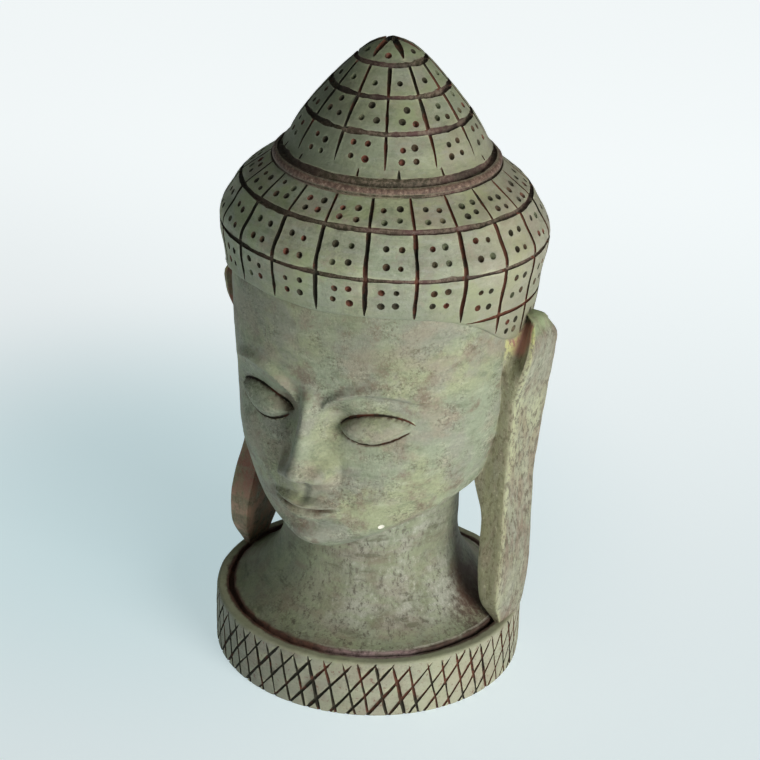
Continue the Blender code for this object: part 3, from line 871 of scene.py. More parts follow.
def graver(material):
    """The tool for the drawn cuts: from lines and a half-width it makes the solid form of a cut."""
    tree = path_cut_tree()

    def engraved(
        name, lines, half_width, zone="cut", closed=False, wobble=0.0006, unevenness=0.45, seed=SEED
    ):
        inputs = {"Material": material, "Seed": seed, "Half-width": half_width}
        inputs |= {"Wobble": wobble, "Unevenness": unevenness}
        return grown(paths(name, lines, closed), tree, inputs, zone)

    return engraved


def wall_cuts(material):
    """The two families of leaning cuts that cross each other on the base's wall."""
    tree = blade_tree()
    made = []
    for name, (count, lean, jitter) in WALL_CUTS.items():
        inputs = {"Material": material, "Seed": SEED + len(made), "Count": float(count), "Lean": lean}
        inputs |= {"Radius": BASE_RADIUS, "Half-width": CUT_WIDTH / 2, "Height": CUT_TOP, "Jitter": jitter}
        made.append(grown(mesh_object(name, []), tree, inputs, "cut"))
    return made


def meridian_cuts(engraved):
    """The cuts that run down the cap and the cone, and the short ticks at the cone's foot."""
    cap_lines = []
    for i in range(CAP_TILES):
        turn = CAP_TURN + 2 * math.pi * i / CAP_TILES
        level = np.linspace(CAP_CUT_TOP, edge_at(turn) + 0.012, CAP_CUT_POINTS)
        share = ends(CAP_CUT_POINTS, 0.05, 0.13) * np.where(level > CAP_RINGS[-1], 0.62, 1.0)
        cap_lines.append(drawn(cap_point, turn, level, CUT_SINK * TILE_CUT, share))
    cone_lines = []
    for i in range(CONE_TILES):
        turn = CONE_TURN + 2 * math.pi * i / CONE_TILES
        level = np.linspace(*CONE_CUT_ENDS, CONE_CUT_POINTS)
        share = ends(CONE_CUT_POINTS, 0.03, 0.30)
        cone_lines.append(drawn(cone_point, turn, level, CUT_SINK * CONE_CUT, share))
        turn = turn + 0.17 + 0.12 * math.sin(5 * i + 1)
        level = np.linspace(*TICK_ENDS, TICK_POINTS)
        share = 0.7 * ends(TICK_POINTS, 0.0, 0.6)
        cone_lines.append(drawn(cone_point, turn, level, CUT_SINK * CONE_CUT, share))
    return engraved("cap_meridians", cap_lines, TILE_CUT), engraved("cone_meridians", cone_lines, CONE_CUT)


def ring_cuts(engraved):
    """The cuts that run round the cap and the cone. The cap's lower ones start beside the face."""
    full = around(RING_POINTS)
    cap_rings = []
    for level, half_width in RING_CUTS.items():
        turn, share = full, 1.0
        if level in SIDE_RINGS:
            start = math.radians(SIDE_RINGS[level])
            turn = np.linspace(start, 2 * math.pi - start, SIDE_RING_POINTS)
            share = ends(SIDE_RING_POINTS, 0.05, 0.05)
        line = drawn(cap_point, turn, level, CUT_SINK * half_width, share)
        zone = "band" if level > 2.5 else "cut"
        cap_rings.append(engraved("cap_ring", [line], half_width, zone, level not in SIDE_RINGS))
    frayed = [drawn(cap_point, full, CAP_RINGS[-1] - 0.010, SHALLOW_SINK)]
    cap_rings.append(engraved("frayed_ring", frayed, 0.00032, "band", True, 0.0008, 2.6, SEED + 5))
    lines = [drawn(cone_point, full, level, CONE_RING_CUT / 2) for level in CONE_RINGS]
    cone_rings = engraved("cone_rings", lines, CONE_RING_CUT, "band", True, 0.0007, 1.5)
    foot = [drawn(cone_point, full, FOOT_GROOVE, SHALLOW_SINK)]
    return cap_rings, [cone_rings, engraved("foot_groove", foot, 0.00100, "band", True)]


def bead_groove(engraved):
    """The narrow groove where the bead meets the cap."""
    level, half_width = BEAD_GROOVE
    line = on_round(half_width * CAP_HALF_WIDTH, around(170), height_of(level))
    return engraved("bead_groove", [(line, 1.0)], 0.00036, "band", True, 0.0004)


def crown_cuts(engraved):
    """Cuts that run out from the tip of the cone."""
    made = []
    level = np.concatenate((np.full(3, CONE_OUTLINE[-1][0]), np.linspace(*CROWN_CUT_ENDS, 9)))
    for i in range(CROWN_CUTS):
        turn = CROWN_TURN + 2 * math.pi * i / CROWN_CUTS
        line, share = drawn(cone_point, turn, level, CONE_CUT / 2, ends(12, 0.0, 0.6))
        line[:3, :2] *= np.array((0.05, 0.4, 0.75))[:, None]
        made.append(engraved("crown_cut", [(line, share)], 1.5 * CONE_CUT))
    return made


def tile_dots(point, tiles, turn, rows, rng):
    """Places for the dots of each tile. Each row has its lower and upper level and its pattern."""
    spots, outwards = [], []
    for i in range(tiles):
        middle = turn + 2 * math.pi * (i + 0.5) / tiles
        for low, high, pattern in rows:
            edge = hair_edge(middle) + 0.02 if point is cap_point else low
            if high - edge < NARROW_ROW:
                continue
            if edge > low:
                low = edge
                pattern = pattern if high - low > WHOLE_ROW else TWO_DOTS
            shift = rng.uniform(-TILE_SHIFT, TILE_SHIFT, 2)
            for across, up in pattern:
                level = (low + high) / 2 + up * (high - low) + shift[0] / CAP_HALF_WIDTH
                level = level + rng.uniform(-DOT_STRAY, DOT_STRAY) / CAP_HALF_WIDTH
                radius = np.linalg.norm(point(middle, level)[:2])
                spot = middle + (across + shift[1] + rng.uniform(-DOT_STRAY, DOT_STRAY)) / radius
                spots.append(point(spot, level))
                outwards.append(outward(point, spot, level))
    return spots, outwards


def drilled_dots(material):
    """The dots: four to a tile of the cap, fewer up the cone, and one in each field of its crown."""
    rng = np.random.default_rng(SEED)
    lows, highs = (CAP_OUTLINE[0][0],) + CAP_RINGS, CAP_RINGS + (CONE_OUTLINE[1][0],)
    cap_rows = [(low, high, FOUR_DOTS) for low, high in zip(lows, highs)]
    lows = (CONE_DOTS_START,) + CONE_RINGS
    cone_rows = list(zip(lows, CONE_RINGS, (FOUR_DOTS, THREE_DOTS, ONE_DOT)))
    tree = dot_tree()
    inputs = {"Material": material, "Seed": SEED, "Radius": DOT_RADIUS, "Depth": DOT_DEPTH, "Tilt": 0.16}
    cap = dots("cap_dots", *tile_dots(cap_point, CAP_TILES, CAP_TURN, cap_rows, rng))
    spots, outwards = tile_dots(cone_point, CONE_TILES, CONE_TURN, cone_rows, rng)
    crown = tile_dots(cone_point, CROWN_CUTS, CROWN_TURN, [(*CROWN_DOTS, ONE_DOT)], rng)
    cone = dots("cone_dots", spots + crown[0], outwards + crown[1])
    return grown(cap, tree, inputs, "dot"), grown(cone, tree, inputs, "dot")


def face_point(x, z, depth=0.0):
    """A point of the face at a distance from its middle and a level, on its skin or at a depth under it."""
    width = between(HEAD_SECTIONS, z, 1)
    sine = squared(np.clip(x / width, -1.0, 1.0), 1 / FACE_SQUARENESS)
    y = -between(HEAD_SECTIONS, z, 2) * np.sqrt(1 - sine**2) ** FACE_SQUARENESS - face_rise(x, z)
    return placed(x, y + depth / CAP_HALF_WIDTH, z)


def face_lines(engraved):
    """Fine lines along both edges of each lid and between the lips."""
    across = np.linspace(-1.0, 1.0, 34)
    low, high, _ = eye_edges(across)
    x, lips = EYE_MIDDLE + EYE_HALF_LENGTH * across, across * LIP_HALF_WIDTH
    lines = (
        ("upper_line", (1, -1), x, high + 0.010, 0.00040),
        ("lower_line", (1, -1), x[2:-2], (low - 0.010)[2:-2], 0.00032),
        ("mouth_line", (1,), lips, mouth_line(lips), 0.00044),
    )
    made = []
    for name, sides, place, level, half_width in lines:
        share = ends(len(place), 0.2, 0.2)
        for side in sides:
            line = face_point(side * place, level, 0.6 * half_width * share)
            made.append(engraved(name, [(line, share)], half_width, wobble=0.0001))
    return made


def small_pits(material):
    """The two nostrils, and a chip in the jaw that shows the bare resin."""
    tree = dot_tree()
    inputs = {"Material": material, "Seed": SEED, "Radius": 0.0013, "Depth": 0.0012, "Tilt": 0.0}
    nostrils = [face_point(side * 0.072, NOSE_BASE + 0.028, 0.0002) for side in (1, -1)]
    below = [(side * 0.15, -0.55, -0.83) for side in (1, -1)]
    made = [grown(dots("nostrils", nostrils, below), tree, inputs, "cut")]
    inputs |= {"Radius": 0.0009, "Depth": 0.00035, "Seed": SEED + 4}
    chip = dots("jaw_chip", [face_point(*CHIP)], [outward(face_point, *CHIP)])
    return made + [grown(chip, tree, inputs, "chip")]


def carved_forms(material):
    """The casting's forms with all their cuts and dots."""
    engraved = graver(material)
    cap_meridians, cone_meridians = meridian_cuts(engraved)
    cap_rings, cone_rings = ring_cuts(engraved)
    cap_dots, cone_dots = drilled_dots(material)
    base = combine(base_form(), wall_cuts(material), "DIFFERENCE")
    head = combine(head_form(), face_lines(engraved) + small_pits(material), "DIFFERENCE")
    cap = combine(cap_form(), [cap_meridians] + cap_rings + [cap_dots], "DIFFERENCE")
    cone_cuts = [cone_meridians] + cone_rings + crown_cuts(engraved)
    cone = combine(cone_form(), cone_cuts + [cone_dots], "DIFFERENCE")
    casting = combine(base, [head, cap, cone, ear_form(1), ear_form(-1)], "UNION")
    return combine(casting, [bead_groove(engraved)], "DIFFERENCE")


def weathering_tree(directions):
    """Roughens the skin, and keeps how hollow and how worn each of its points is."""
    tree, given = new_tree("weathering", ("Grain", "Unevenness", "Hollow reach", "Edge reach"))
    place = node(tree, "GeometryNodeInputPosition")
    normal = node(tree, "GeometryNodeInputNormal")
    height = node(tree, "ShaderNodeSeparateXYZ", {}, {0: place}, output=2)
    broad = place.noise(110.0, 2.0, given["Seed"]) - 0.5
    grain = place.noise(700.0, 2.0, given["Seed"] + 3) - 0.5
    lift = (broad * given["Unevenness"] + grain * given["Grain"]) * height.ramp(0.0003, 0.0020)
    skin = moved(tree, given["Geometry"], Offset=normal.scaled(lift))

    place = node(tree, "GeometryNodeInputPosition")
    normal = node(tree, "GeometryNodeInputNormal")
    totals = {}
    for name, side, reach in (("hollow", 1.0, given["Hollow reach"]), ("worn", -1.0, given["Edge reach"])):
        start = place.vector("ADD", normal.scaled(RAY_START * side))
        total = 0.0
        for direction in directions:
            way = normal.scaled(1.02).vector("ADD", tuple(direction)).scaled(side)
            values = {"Target Geometry": skin, "Source Position": start}
            values |= {"Ray Direction": way, "Ray Length": reach}
            hit = node(tree, "GeometryNodeRaycast", {"data_type": "FLOAT"}, values)
            total = hit * (1 - hit.other("Hit Distance") / reach) + total
        totals[name] = total / len(directions)
    for name, total in totals.items():
        values = {"Value": total, "Iterations": 2, "Weight": 0.6}
        skin = kept(tree, skin, name, node(tree, "GeometryNodeBlurAttribute", {"data_type": "FLOAT"}, values))
    return end_tree(tree, skin, given["Material"])


def spread_directions(count):
    """Directions spread evenly over a ball."""
    index = np.arange(count) + 0.5
    z = 1 - 2 * index / count
    turn = index * math.pi * (1 + 5**0.5)
    flat = np.sqrt(1 - z**2)
    return np.stack((flat * np.cos(turn), flat * np.sin(turn), z), axis=-1)


def mark_zones(mesh):
    """Keeps for each point what share of the faces around it belongs to each form, to a cut or to a dot."""
    zone = read(mesh, "zone")
    sizes = np.zeros(len(mesh.polygons), np.int32)
    mesh.polygons.foreach_get("loop_total", sizes)
    corner = np.zeros(len(mesh.loops), np.int32)
    mesh.loops.foreach_get("vertex_index", corner)
    corner_zone = np.repeat(zone, sizes)
    around_point = np.maximum(np.bincount(corner, minlength=len(mesh.vertices)), 1)
    for name, number in ZONES.items():
        inside = np.abs(corner_zone - number) < 0.5
        store(mesh, name, np.bincount(corner, inside, len(mesh.vertices)) / around_point)
    points, normals = np.zeros((2, 3 * len(mesh.vertices)), np.float32)
    mesh.vertices.foreach_get("co", points)
    mesh.vertices.foreach_get("normal", normals)
    forwards, outwards = -normals[1::3], normals[::3] * np.sign(points[::3])
    on_ear = read(mesh, "ear")
    # From the way each ear point faces: its front face, which is painted darker partly as shade, the bevel of
    # its front edge, which faces the light and gets a painted highlight, and its outer face.
    edge = ease(0.10, 0.35, forwards) * ease(0.85, 0.55, forwards) * ease(0.2, 0.5, outwards)
    store(mesh, "ear_front", on_ear * ease(0.45, 0.80, forwards))
    store(mesh, "ear_edge", on_ear * edge)
    store(mesh, "ear_outside", on_ear * ease(0.60, 0.90, outwards))
    for name in ("cut", "dot", "band", "chip"):
        store(mesh, "inside_" + name, np.abs(zone - ZONES[name]) < 0.5, "FACE")


def paint(red, green, blue):
    """A colour from its screen values, 0 to 255."""
    return tuple(((v / 255 + 0.055) / 1.055) ** 2.4 for v in (red, green, blue)) + (1.0,)


def blend(factor, under, over):
    """Lays one colour over another by a factor."""
    settings = {"data_type": "RGBA", "blend_type": "MIX", "clamp_factor": True}
    return node(factor.tree, "ShaderNodeMix", settings, {0: factor, 6: under, 7: over}, output=2)


def coated(colour, coats, where=None):
    """Lays coats over a colour. Each has its cover, from 0 to 1, and its screen values or a mixed colour."""
    for cover, coat in coats:
        cover = cover * where if where else cover
        colour = blend(cover, colour, coat if isinstance(coat, Link) else paint(*coat))
    return colour


def marked(tree, name):
    """The number that the mesh keeps under a name."""
    return node(tree, "ShaderNodeAttribute", {"attribute_name": name}, {}, "Fac")


def surface(tree):
    """What the paint reads at each point: its place, height and side, and what the mesh keeps there."""
    place = node(tree, "ShaderNodeTexCoord", {}, {}, "Object")
    height = node(tree, "ShaderNodeSeparateXYZ", {}, {0: place}, "Z")
    from_middle = place.vector("MULTIPLY", (1.0, 1.0, 0.0)).distance((0.0, 0.0, 0.0))
    right = place.along(RIGHT)
    at = SimpleNamespace(tree=tree, place=place, height=height, right=right, from_middle=from_middle)
    zones = ("base", "head", "cap", "cone", "ear", "cut")
    for name in zones + ("worn", "hollow", "ear_front", "ear_edge", "ear_outside"):
        setattr(at, name, marked(tree, name))
    at.tiled = at.cap + at.cone
    return at


def skin_colour(at):
    """Khaki-green paint: cloudy, rubbed to brown in places, with dark and pale specks in its grain, and
    darker brown in its hollows, partly grime and partly painted shade.
    """
    place, tiled = at.place, at.tiled
    strokes = place.stroked(0.6, 1.5).noise(260.0, 6.0, 8.0, 0.7)
    patch = place.noise(110.0, 6.0, 3.0, 0.7).ramp(0.46, 0.60, 0.16, 1.0) * (1 - tiled * 0.75)
    grain = place.noise(1500.0, 3.0, 9.0, 0.7)
    rough = patch * 0.6 + (1 - tiled) * 0.2 + 0.1
    wash = place.stroked(0.8, 1.3).noise(75.0, 5.0, 10.0, 0.6) - tiled * 0.04
    level = place.stroked(0.8, 1.25).noise(1300.0, 4.0, 2.0, 0.75)
    upright = place.stroked(1.3, 0.6).noise(1100.0, 4.0, 5.0, 0.75)
    # Darker brown in the hollows: partly grime, and partly painted shade for the shade that falls in them.
    hollow_grime_and_shade = at.hollow * (0.50 + upright)
    brush = place.stroked(0.45, 2.4).noise(330.0, 5.0, 11.0, 0.65)
    stipple = place.noise(1000.0, 5.0, 15.0, 0.75)
    edge = at.worn.ramp(0.24, 0.44) * strokes.ramp(0.38, 0.56, 0.15, 0.85) * (1 - tiled * 0.4)
    return coated(paint(139, 147, 124), (
        (place.noise(55.0, 4.0, 1.0).ramp(0.42, 0.60), (148, 153, 120)),
        (place.noise(100.0, 6.0, 4.0, 0.65).ramp(0.44, 0.60) * (0.85 - tiled * 0.4), (136, 136, 123)),
        (place.noise(105.0, 7.0, 7.0, 0.75).ramp(0.50, 0.64) * (0.80 - tiled * 0.52), (114, 95, 80)),
        (strokes.ramp(0.50, 0.32) * 0.7, (102, 111, 86)),
        (strokes.ramp(0.52, 0.68) * 0.5, (174, 177, 154)),
        (wash.ramp(0.50, 0.62) * 0.6, (148, 138, 120)),
        (grain.ramp(0.50, 0.36) * rough * 0.4, (96, 96, 74)),
        (grain.ramp(0.52, 0.66) * rough * 0.35, (184, 185, 160)),
        (level.ramp(0.51, 0.61) * patch * 0.65, (86, 82, 62)),
        (upright.ramp(0.53, 0.63) * patch * 0.60, (86, 76, 60)),
        (level.ramp(0.44, 0.34) * patch * 0.5, (186, 182, 158)),
        (hollow_grime_and_shade.ramp(0.18, 0.52) * 0.9, (76, 57, 43)),
        (brush.ramp(0.52, 0.64) * tiled * 0.5, (150, 152, 140)),
        (brush.ramp(0.47, 0.36) * tiled * 0.45, (112, 122, 92)),
        (place.noise(170.0, 6.0, 12.0, 0.75).ramp(0.55, 0.66) * tiled * 0.55, (142, 124, 112)),
        (stipple.ramp(0.53, 0.64) * tiled * 0.40, (98, 98, 78)),
        (stipple.ramp(0.43, 0.34) * tiled * 0.30, (184, 184, 162)),
        (place.noise(75.0, 4.0, 13.0, 0.6).ramp(0.50, 0.62) * tiled * 0.45, (136, 148, 98)),
        (place.noise(125.0, 5.0, 14.0, 0.65).ramp(0.52, 0.64) * tiled * 0.40, (128, 122, 114)),
        (edge, (176, 177, 144)),
    ))


def dish_colour(at, colour):
    """The shoulder dish and the neck: dark olive below, a grey-white bloom only on the neck's sunny side,
    partly dust and partly painted light, and painted shade by the ear and the neck.
    """
    place = at.place
    above_rim = at.height.ramp(BASE_HEIGHT - 0.0005, BASE_HEIGHT + 0.0010) * at.base
    side = place.along((0.80, -0.60, 0.0))
    # The side that faces the light. The pale bloom and pale specks are laid only here: painted light over a
    # dusty bloom.
    lit = side.ramp(0.008, 0.028) * at.height.ramp(BASE_HEIGHT + 0.0015, BASE_HEIGHT + 0.0075)
    pink = place.stroked(1.0, 2.0).noise(90.0, 5.0, 24.0, 0.6)
    bloom = place.noise(80.0, 6.0, 21.0, 0.7)
    mottle = place.stroked(1.15, 0.65).noise(620.0, 6.0, 22.0, 0.8)
    strokes = place.stroked(0.5, 2.0).noise(240.0, 5.0, 25.0, 0.65)
    rough = bloom.ramp(0.34, 0.54) * side.ramp(-0.006, 0.016, 0.15, 1.0)
    # Painted shade, dark red-brown, in the dish by the ear's foot and beside the neck, where the two meet.
    shade_by_ear = place.distance((0.033, -0.001, BASE_HEIGHT)).ramp(0.014, 0.005)
    shade_beside_neck = place.distance((0.027, 0.004, 0.0200)) + (bloom - 0.5) * 0.02
    return coated(colour, (
        (0.6, (110, 116, 91)),
        (pink.ramp(0.48, 0.64) * 0.5, (118, 102, 88)),
        (bloom.ramp(0.40, 0.58) * lit * 0.7, (168, 168, 156)),
        (strokes.ramp(0.50, 0.62) * 0.5, (134, 142, 112)),
        (strokes.ramp(0.46, 0.34) * 0.6, (84, 84, 64)),
        (mottle.ramp(0.51, 0.60) * rough * 0.80, (76, 70, 58)),
        (mottle.ramp(0.47, 0.36) * lit * 0.50, (186, 186, 174)),
        (mottle.ramp(0.40, 0.54) * shade_by_ear * 0.8, (72, 56, 46)),
        (shade_beside_neck.ramp(0.012, 0.005) * 0.75, (92, 60, 48)),
    ), above_rim)


def wall_colour(at, colour):
    """Grey-brown pads between the cuts, paler on the lit right and darker on the left as painted light and
    shade, with small red specks.
    """
    on_wall = at.height.ramp(BASE_HEIGHT + 0.0002, BASE_HEIGHT - 0.0010) * at.base
    # Painted light and shade: the pads are a pale copy on the lit right side and a dark copy on the left.
    lit_and_shaded_pads = blend(at.right.ramp(-0.030, 0.034), paint(130, 125, 110), paint(166, 163, 140))
    specks = at.place.noise(800.0, 4.0, 31.0, 0.75).ramp(0.57, 0.65)
    return coated(colour, ((0.65, lit_and_shaded_pads), (specks * 0.7, (106, 60, 46))), on_wall)


def ear_colour(at, colour):
    """The ears: upright streaks of brown and faded red, a red recess at the top, a green crown, a front face
    darkened partly by dirt and partly as painted shade, and painted highlights on the front edge's bevel.
    """
    place, front = at.place, at.ear_front
    streak = place.stroked(1.3, 0.35).noise(260.0, 5.0, 61.0, 0.7)
    patch = place.noise(60.0, 4.0, 62.0, 0.6).ramp(0.35, 0.62, 0.25, 1.0)
    speck = place.stroked(1.1, 0.5).noise(950.0, 5.0, 63.0, 0.75)
    far_side = place.along((1.0, 0.0, 0.0)).ramp(0.010, -0.010)
    red = blend(at.height.ramp(height_of(0.30), height_of(0.62)), paint(176, 142, 120), paint(134, 88, 72))
    blotch = place.noise(210.0, 5.0, 64.0, 0.7)
    flaking = blotch.ramp(0.44, 0.56, 0.25, 1.0) * (1 - at.ear_outside * 0.6)
    crown = at.height.ramp(height_of(2.02), height_of(2.10))
    recess = place.vector("ABSOLUTE").distance(EAR_RECESS) + (speck - 0.5) * 0.003
    inside = (at.hollow + front * 0.4).ramp(0.15, 0.40) * at.worn.ramp(0.30, 0.10)
    # A yellow crest near the recess, laid on the bevel that faces the light: a painted highlight.
    crest_highlight = recess.ramp(0.0095, 0.0060) * speck.ramp(0.58, 0.48)
    return coated(colour, (
        (at.ear * 0.45, (148, 144, 128)),
        (streak.ramp(0.44, 0.58) * patch * at.ear * 0.6, (118, 94, 78)),
        (streak.ramp(0.44, 0.36) * at.ear * 0.4, (170, 168, 146)),
        (speck.ramp(0.50, 0.58) * (patch * 0.7 + 0.3) * at.ear * 0.85, (88, 80, 62)),
        (speck.ramp(0.42, 0.34) * at.ear * 0.45, (178, 178, 152)),
        # The front face, which the cheek hides from the light, is painted darker olive: partly dirt, partly
        # painted shade.
        (streak.ramp(0.62, 0.40, 0.35, 0.85) * front, (124, 122, 90)),
        (speck.ramp(0.52, 0.64) * front * 0.55, (84, 78, 56)),
        (speck.ramp(0.42, 0.34) * front * 0.55, (178, 174, 142)),
        # A pale strip on the bevel of the front edge, where it faces the light: a painted highlight.
        (speck.ramp(0.56, 0.46, 0.1, 0.8) * at.ear_edge, (170, 173, 136)),
        (streak.ramp(0.36, 0.56, 0.45, 1.0) * far_side * at.ear * flaking, red),
        (blotch.ramp(0.46, 0.34) * far_side * at.ear * 0.55, (86, 84, 64)),
        (streak.ramp(0.62, 0.42, 0.4, 0.8) * crown * at.ear, (142, 156, 116)),
        (recess.ramp(0.0070, 0.0045) * inside * at.ear * 0.85, (164, 112, 98)),
        (crest_highlight * at.ear_edge * 0.9, (186, 186, 118)),
        (at.worn.ramp(0.30, 0.50) * at.ear * 0.6, (180, 182, 140)),
    ))


def painted_side_shade_and_light(at, colour):
    """Darker on the far side of cone and forehead, as painted shade, and on the cap's low rows; beige on the
    near side, partly a tone and partly painted light.
    """
    # Painted shade on the forehead, on the side away from the light.
    forehead = at.height.ramp(height_of(1.75), height_of(2.10)) * at.head * at.right.ramp(0.024, -0.004)
    return coated(colour, (
        # Painted shade on the cone's far side, and a paler beige on the lit side of cap and cone that is
        # partly painted light.
        (at.right.ramp(0.006, -0.014, 0.26, 0.75) * at.cone, (98, 104, 82)),
        (at.right.ramp(0.004, 0.034) * at.tiled * 0.35, (170, 156, 138)),
        (forehead * 0.30, (98, 98, 76)),
        (at.height.ramp(height_of(2.56), height_of(2.30)) * at.cap * 0.38, (116, 119, 99)),
    ))


def bead_colour(at, colour):
    """Purplish brown on the bead, with pale grains on its crest."""
    low = at.height.ramp(height_of(2.925), height_of(2.95))
    bead = low * at.height.ramp(height_of(3.03), height_of(3.015)) * at.cone
    grain = at.place.noise(1100.0, 4.0, 48.0, 0.75)
    painted = blend(grain.ramp(0.44, 0.56), paint(80, 58, 49), paint(114, 90, 77))
    painted = blend(grain.ramp(0.58, 0.66) * 0.8, painted, paint(160, 142, 124))
    return blend(bead * 0.95, colour, painted)


def rim_tones_and_lip_highlight(at, colour):
    """Pale paint on the rim, purplish brown by the ring groove, and a broken pale line on the dish's lip
    towards the lit right, partly wear and partly a painted highlight.
    """
    place, height = at.place, at.height
    ragged = (place.noise(300.0, 5.0, 53.0, 0.7) - 0.5) * 0.005
    on_top = height.ramp(BASE_HEIGHT - 0.0008, BASE_HEIGHT - 0.0002)
    on_top = on_top * height.ramp(BASE_HEIGHT + 0.004, BASE_HEIGHT + 0.0015)
    rim = (at.from_middle + ragged * 0.4).ramp(GROOVE_RADIUS + 0.0006, GROOVE_RADIUS + 0.0018)
    near = (at.from_middle + ragged - GROOVE_RADIUS).math("ABSOLUTE").ramp(0.0018, 0.0006)
    # The pale line on the dish's raised lip, laid only towards the lit right: partly wear, partly a painted
    # highlight.
    lip = (at.from_middle + ragged * 0.08).math("COMPARE", GROOVE_RADIUS - 0.00125, 0.00028)
    lip = lip * at.right.ramp(-0.018, 0.0) * place.noise(400.0, 4.0, 57.0, 0.7).ramp(0.40, 0.56)
    return coated(colour, (
        (on_top * rim * 0.6, (156, 158, 130)),
        (on_top * near * 0.6, (92, 72, 62)),
        (height.ramp(BASE_HEIGHT + 0.004, BASE_HEIGHT + 0.001) * lip * 0.7, (168, 164, 150)),
    ), at.base)


def ring_groove(at):
    """How far a point lies in the ring groove between the rim and the dish."""
    distance = at.from_middle + (at.place.noise(260.0, 4.0, 51.0) - 0.5) * 0.0014
    inside = distance.ramp(GROOVE_RADIUS - 0.0015, GROOVE_RADIUS - 0.0008)
    outside = distance.ramp(GROOVE_RADIUS + 0.0017, GROOVE_RADIUS + 0.0009)
    return inside * outside * at.height.ramp(BASE_HEIGHT + 0.0012, BASE_HEIGHT + 0.0004) * at.base


def groove_colour(at):
    """The ring groove: dark red-brown, mauve for a stretch in front, and darker beside the left ear as
    painted shade under it.
    """
    way = at.right + at.place.noise(90.0, 4.0, 55.0, 0.6) * 0.02
    return coated(paint(92, 62, 48), (
        (way.ramp(-0.006, 0.006), (134, 114, 112)),
        # Painted shade in the groove under the left ear.
        (way.ramp(0.020, 0.026), (74, 56, 46)),
        (at.place.noise(500.0, 5.0, 56.0, 0.75).ramp(0.46, 0.60) * 0.7, (52, 38, 30)),
    ))


def cut_colour(at):
    """The cuts: nearly black, and red-brown in places."""
    run = at.place.noise(150.0, 4.0, 43.0, 0.65)
    red = run + at.right.ramp(-0.020, 0.020, -0.05, 0.05) - at.height.ramp(0.030, 0.018, 0.0, 0.015)
    return blend(red.ramp(0.44, 0.58), paint(44, 40, 25), paint(96, 55, 38))


def band_colour(at):
    """The rings and the groove over the bead: dark, with grey-purple and brown grime settled in them."""
    side = at.right.ramp(-0.030, 0.0, 0.35, 1.0)
    return coated(paint(62, 56, 38), (
        (at.place.noise(70.0, 3.0, 45.0).ramp(0.42, 0.60) * side, (92, 66, 62)),
        (at.place.noise(900.0, 5.0, 46.0, 0.75).ramp(0.44, 0.60) * side * 0.75, (128, 114, 98)),
        (at.place.noise(45.0, 3.0, 47.0).ramp(0.50, 0.62) * 0.65, (44, 36, 28)),
    ))


def dot_colour(at):
    """The dots, each filled with dark dirt, red-brown paint or grey-green, and most with some of the dark."""
    tint = marked(at.tree, "paint")
    return coated(paint(52, 48, 30), (
        (tint.ramp(0.30, 0.40), (82, 64, 44)),
        (tint.ramp(0.58, 0.66), (106, 60, 44)),
        (tint.ramp(0.76, 0.84), (96, 102, 76)),
        (at.place.noise(850.0, 3.0, 49.0, 0.65).ramp(0.47, 0.58) * 0.75, (46, 42, 26)),
    ))


def painted_resin():
    """The paint of the whole casting, from its plain skin to the dirt in its cuts and dots."""
    material = bpy.data.materials.new("painted_resin")
    material.use_nodes = True
    tree = material.node_tree
    shader = tree.nodes["Principled BSDF"]
    at = surface(tree)
    colour = skin_colour(at)
    for painted in (dish_colour, wall_colour, ear_colour, painted_side_shade_and_light, bead_colour, rim_tones_and_lip_highlight):
        colour = painted(at, colour)
    colour = coated(colour, (
        (ring_groove(at), groove_colour(at)),
        (marked(tree, "inside_cut"), cut_colour(at)),
        (marked(tree, "inside_dot"), dot_colour(at)),
        (marked(tree, "inside_band"), band_colour(at)),
        (marked(tree, "inside_chip"), (222, 218, 204)),
    ))
    tree.links.new(colour.socket, shader.inputs["Base Color"])

    grit = at.place.noise(600.0, 6.0, 71.0, 0.7)
    roughness = 0.58 + grit * 0.25 + at.cut * 0.1 - at.worn * 0.08
    tree.links.new(roughness.socket, shader.inputs["Roughness"])
    relief = grit * 0.6 + at.place.noise(1500.0, 5.0, 73.0, 0.7) * 0.4
    bumps = node(tree, "ShaderNodeBump", {}, {"Strength": 0.9, "Distance": 0.00050, "Height": relief})
    tree.links.new(bumps.socket, shader.inputs["Normal"])
    return material


def place_camera():
    """Looks down on the head from its left, as the photograph does."""
    roll, drift, pitch = (math.radians(degrees) for degrees in (2.41, 0.06, 6.51))
    ahead = Vector((0, math.cos(CAMERA_RISE), -math.sin(CAMERA_RISE)))
    up = Vector((0, math.sin(CAMERA_RISE), math.cos(CAMERA_RISE)))
    right = Vector((1, 0, 0))
    look = math.cos(pitch) * (ahead * math.cos(drift) + right * math.sin(drift)) + up * math.sin(pitch)
    right = look.cross(up).normalized()
    up = right.cross(look).normalized()
    turned_right = right * math.cos(roll) + up * math.sin(roll)
    turned_up = up * math.cos(roll) - right * math.sin(roll)
    frame = Matrix((turned_right, turned_up, -look)).transposed().to_4x4()
    frame.translation = -CAMERA_DISTANCE * CAP_HALF_WIDTH * ahead
    camera = bpy.data.cameras.new("camera")
    camera.sensor_width = SENSOR_WIDTH
    camera.lens = FOCAL_PIXELS / PICTURE_PIXELS * SENSOR_WIDTH
    camera.clip_start = 0.01
    holder = bpy.data.objects.new("camera", camera)
    holder.matrix_world = Matrix.Rotation(CAMERA_TURN, 4, "Z") @ frame
    bpy.context.scene.collection.objects.link(holder)
    bpy.context.scene.camera = holder


def area_light(name, place, target, size, power, colour):
    light = bpy.data.lights.new(name, "AREA")
    light.shape = "DISK"
    light.size = size
    light.energy = power
    light.color = colour
    holder = bpy.data.objects.new(name, light)
    holder.location = place
    holder.rotation_euler = (Vector(target) - Vector(place)).to_track_quat("-Z", "Y").to_euler()
    bpy.context.scene.collection.objects.link(holder)


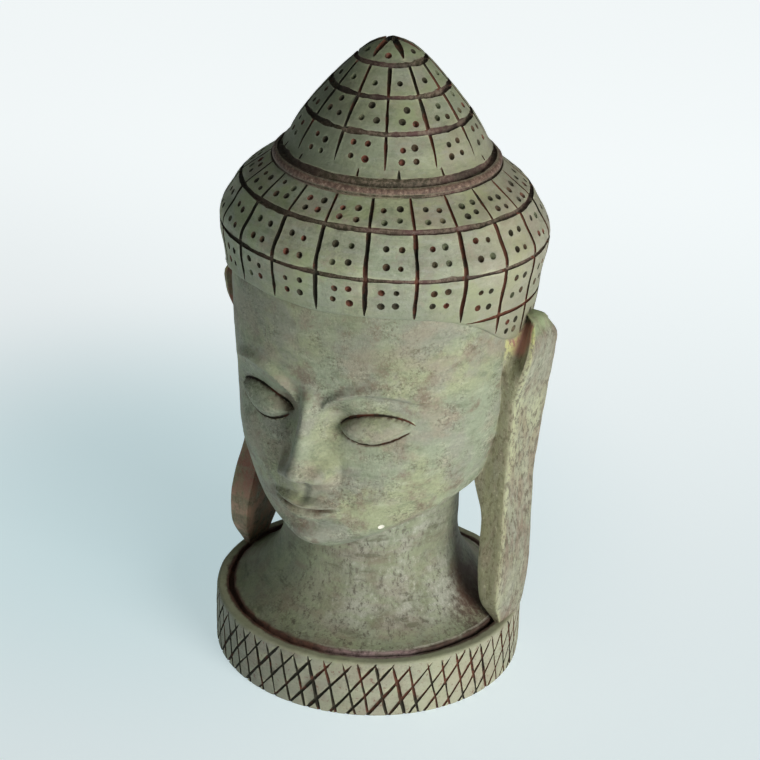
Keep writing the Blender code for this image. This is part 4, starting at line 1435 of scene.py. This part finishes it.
def light_and_floor():
    """A broad soft light, low from the camera's right, a weak one from its left, and a pale floor that glows,
    brighter away from the camera, with a painted shadow beside the base.
    """
    area_light("window_light", (0.94, -0.46, 0.29), (0, 0, 0.08), 0.65, 12.4, (1.0, 0.985, 0.945))
    area_light("fill_light", (-0.6, -0.9, 0.3), (0, 0, 0.07), 0.9, 0.6, (0.92, 1.0, 0.95))
    world = bpy.data.worlds.new("room")
    world.use_nodes = True
    bpy.context.scene.world = world
    world.node_tree.nodes["Background"].inputs["Color"].default_value = (0.86, 0.95, 0.90, 1.0)
    world.node_tree.nodes["Background"].inputs["Strength"].default_value = 0.10

    floor = mesh_object("floor", [(-2, -2, 0), (2, -2, 0), (2, 2, 0), (-2, 2, 0)], faces=[(0, 1, 2, 3)])
    material = bpy.data.materials.new("pale_glowing_floor")
    material.use_nodes = True
    tree = material.node_tree
    shader = tree.nodes["Principled BSDF"]
    place = node(tree, "ShaderNodeTexCoord", {}, {}, "Object")
    away = place.along((-math.sin(CAMERA_TURN), math.cos(CAMERA_TURN), 0.0))
    # The floor glows: its emission is brighter further from the camera, painted light on a floor that is no
    # lamp.
    glow = blend(away.ramp(-0.15, 0.40), (0.485, 0.540, 0.560, 1.0), (0.80, 0.83, 0.84, 1.0))
    # A painted shadow: the glow turns dark teal round a spot behind and to the left of the base.
    shade = place.distance((-0.085, 0.035, 0.0)).ramp(0.030, 0.160, 0.45, 0.0)
    glow = blend(shade, glow, (0.22, 0.41, 0.45, 1.0))
    tree.links.new(glow.socket, shader.inputs["Emission Color"])
    shader.inputs["Emission Strength"].default_value = 1.0
    shader.inputs["Base Color"].default_value = (0.44, 0.50, 0.51, 1.0)
    shader.inputs["Roughness"].default_value = 0.7
    floor.data.materials.append(material)
    bpy.context.scene.view_settings.view_transform = "Standard"


def main():
    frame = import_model()

    material = painted_resin()
    head = carved_forms(material)
    head.name = "weathered_head"
    inputs = {"Material": material, "Seed": SEED, "Grain": 0.00014, "Unevenness": 0.00070}
    inputs |= {"Hollow reach": 0.0060, "Edge reach": 0.0016}
    grown(head, weathering_tree(spread_directions(12)), inputs)
    mark_zones(head.data)
    head.data.materials.clear()
    head.data.materials.append(material)
    head.data.shade_smooth()
    head.data.set_sharp_from_angle(angle=math.radians(38))

    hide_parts("resin_head")
    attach(head, "root")

    place_camera()
    light_and_floor()


main()
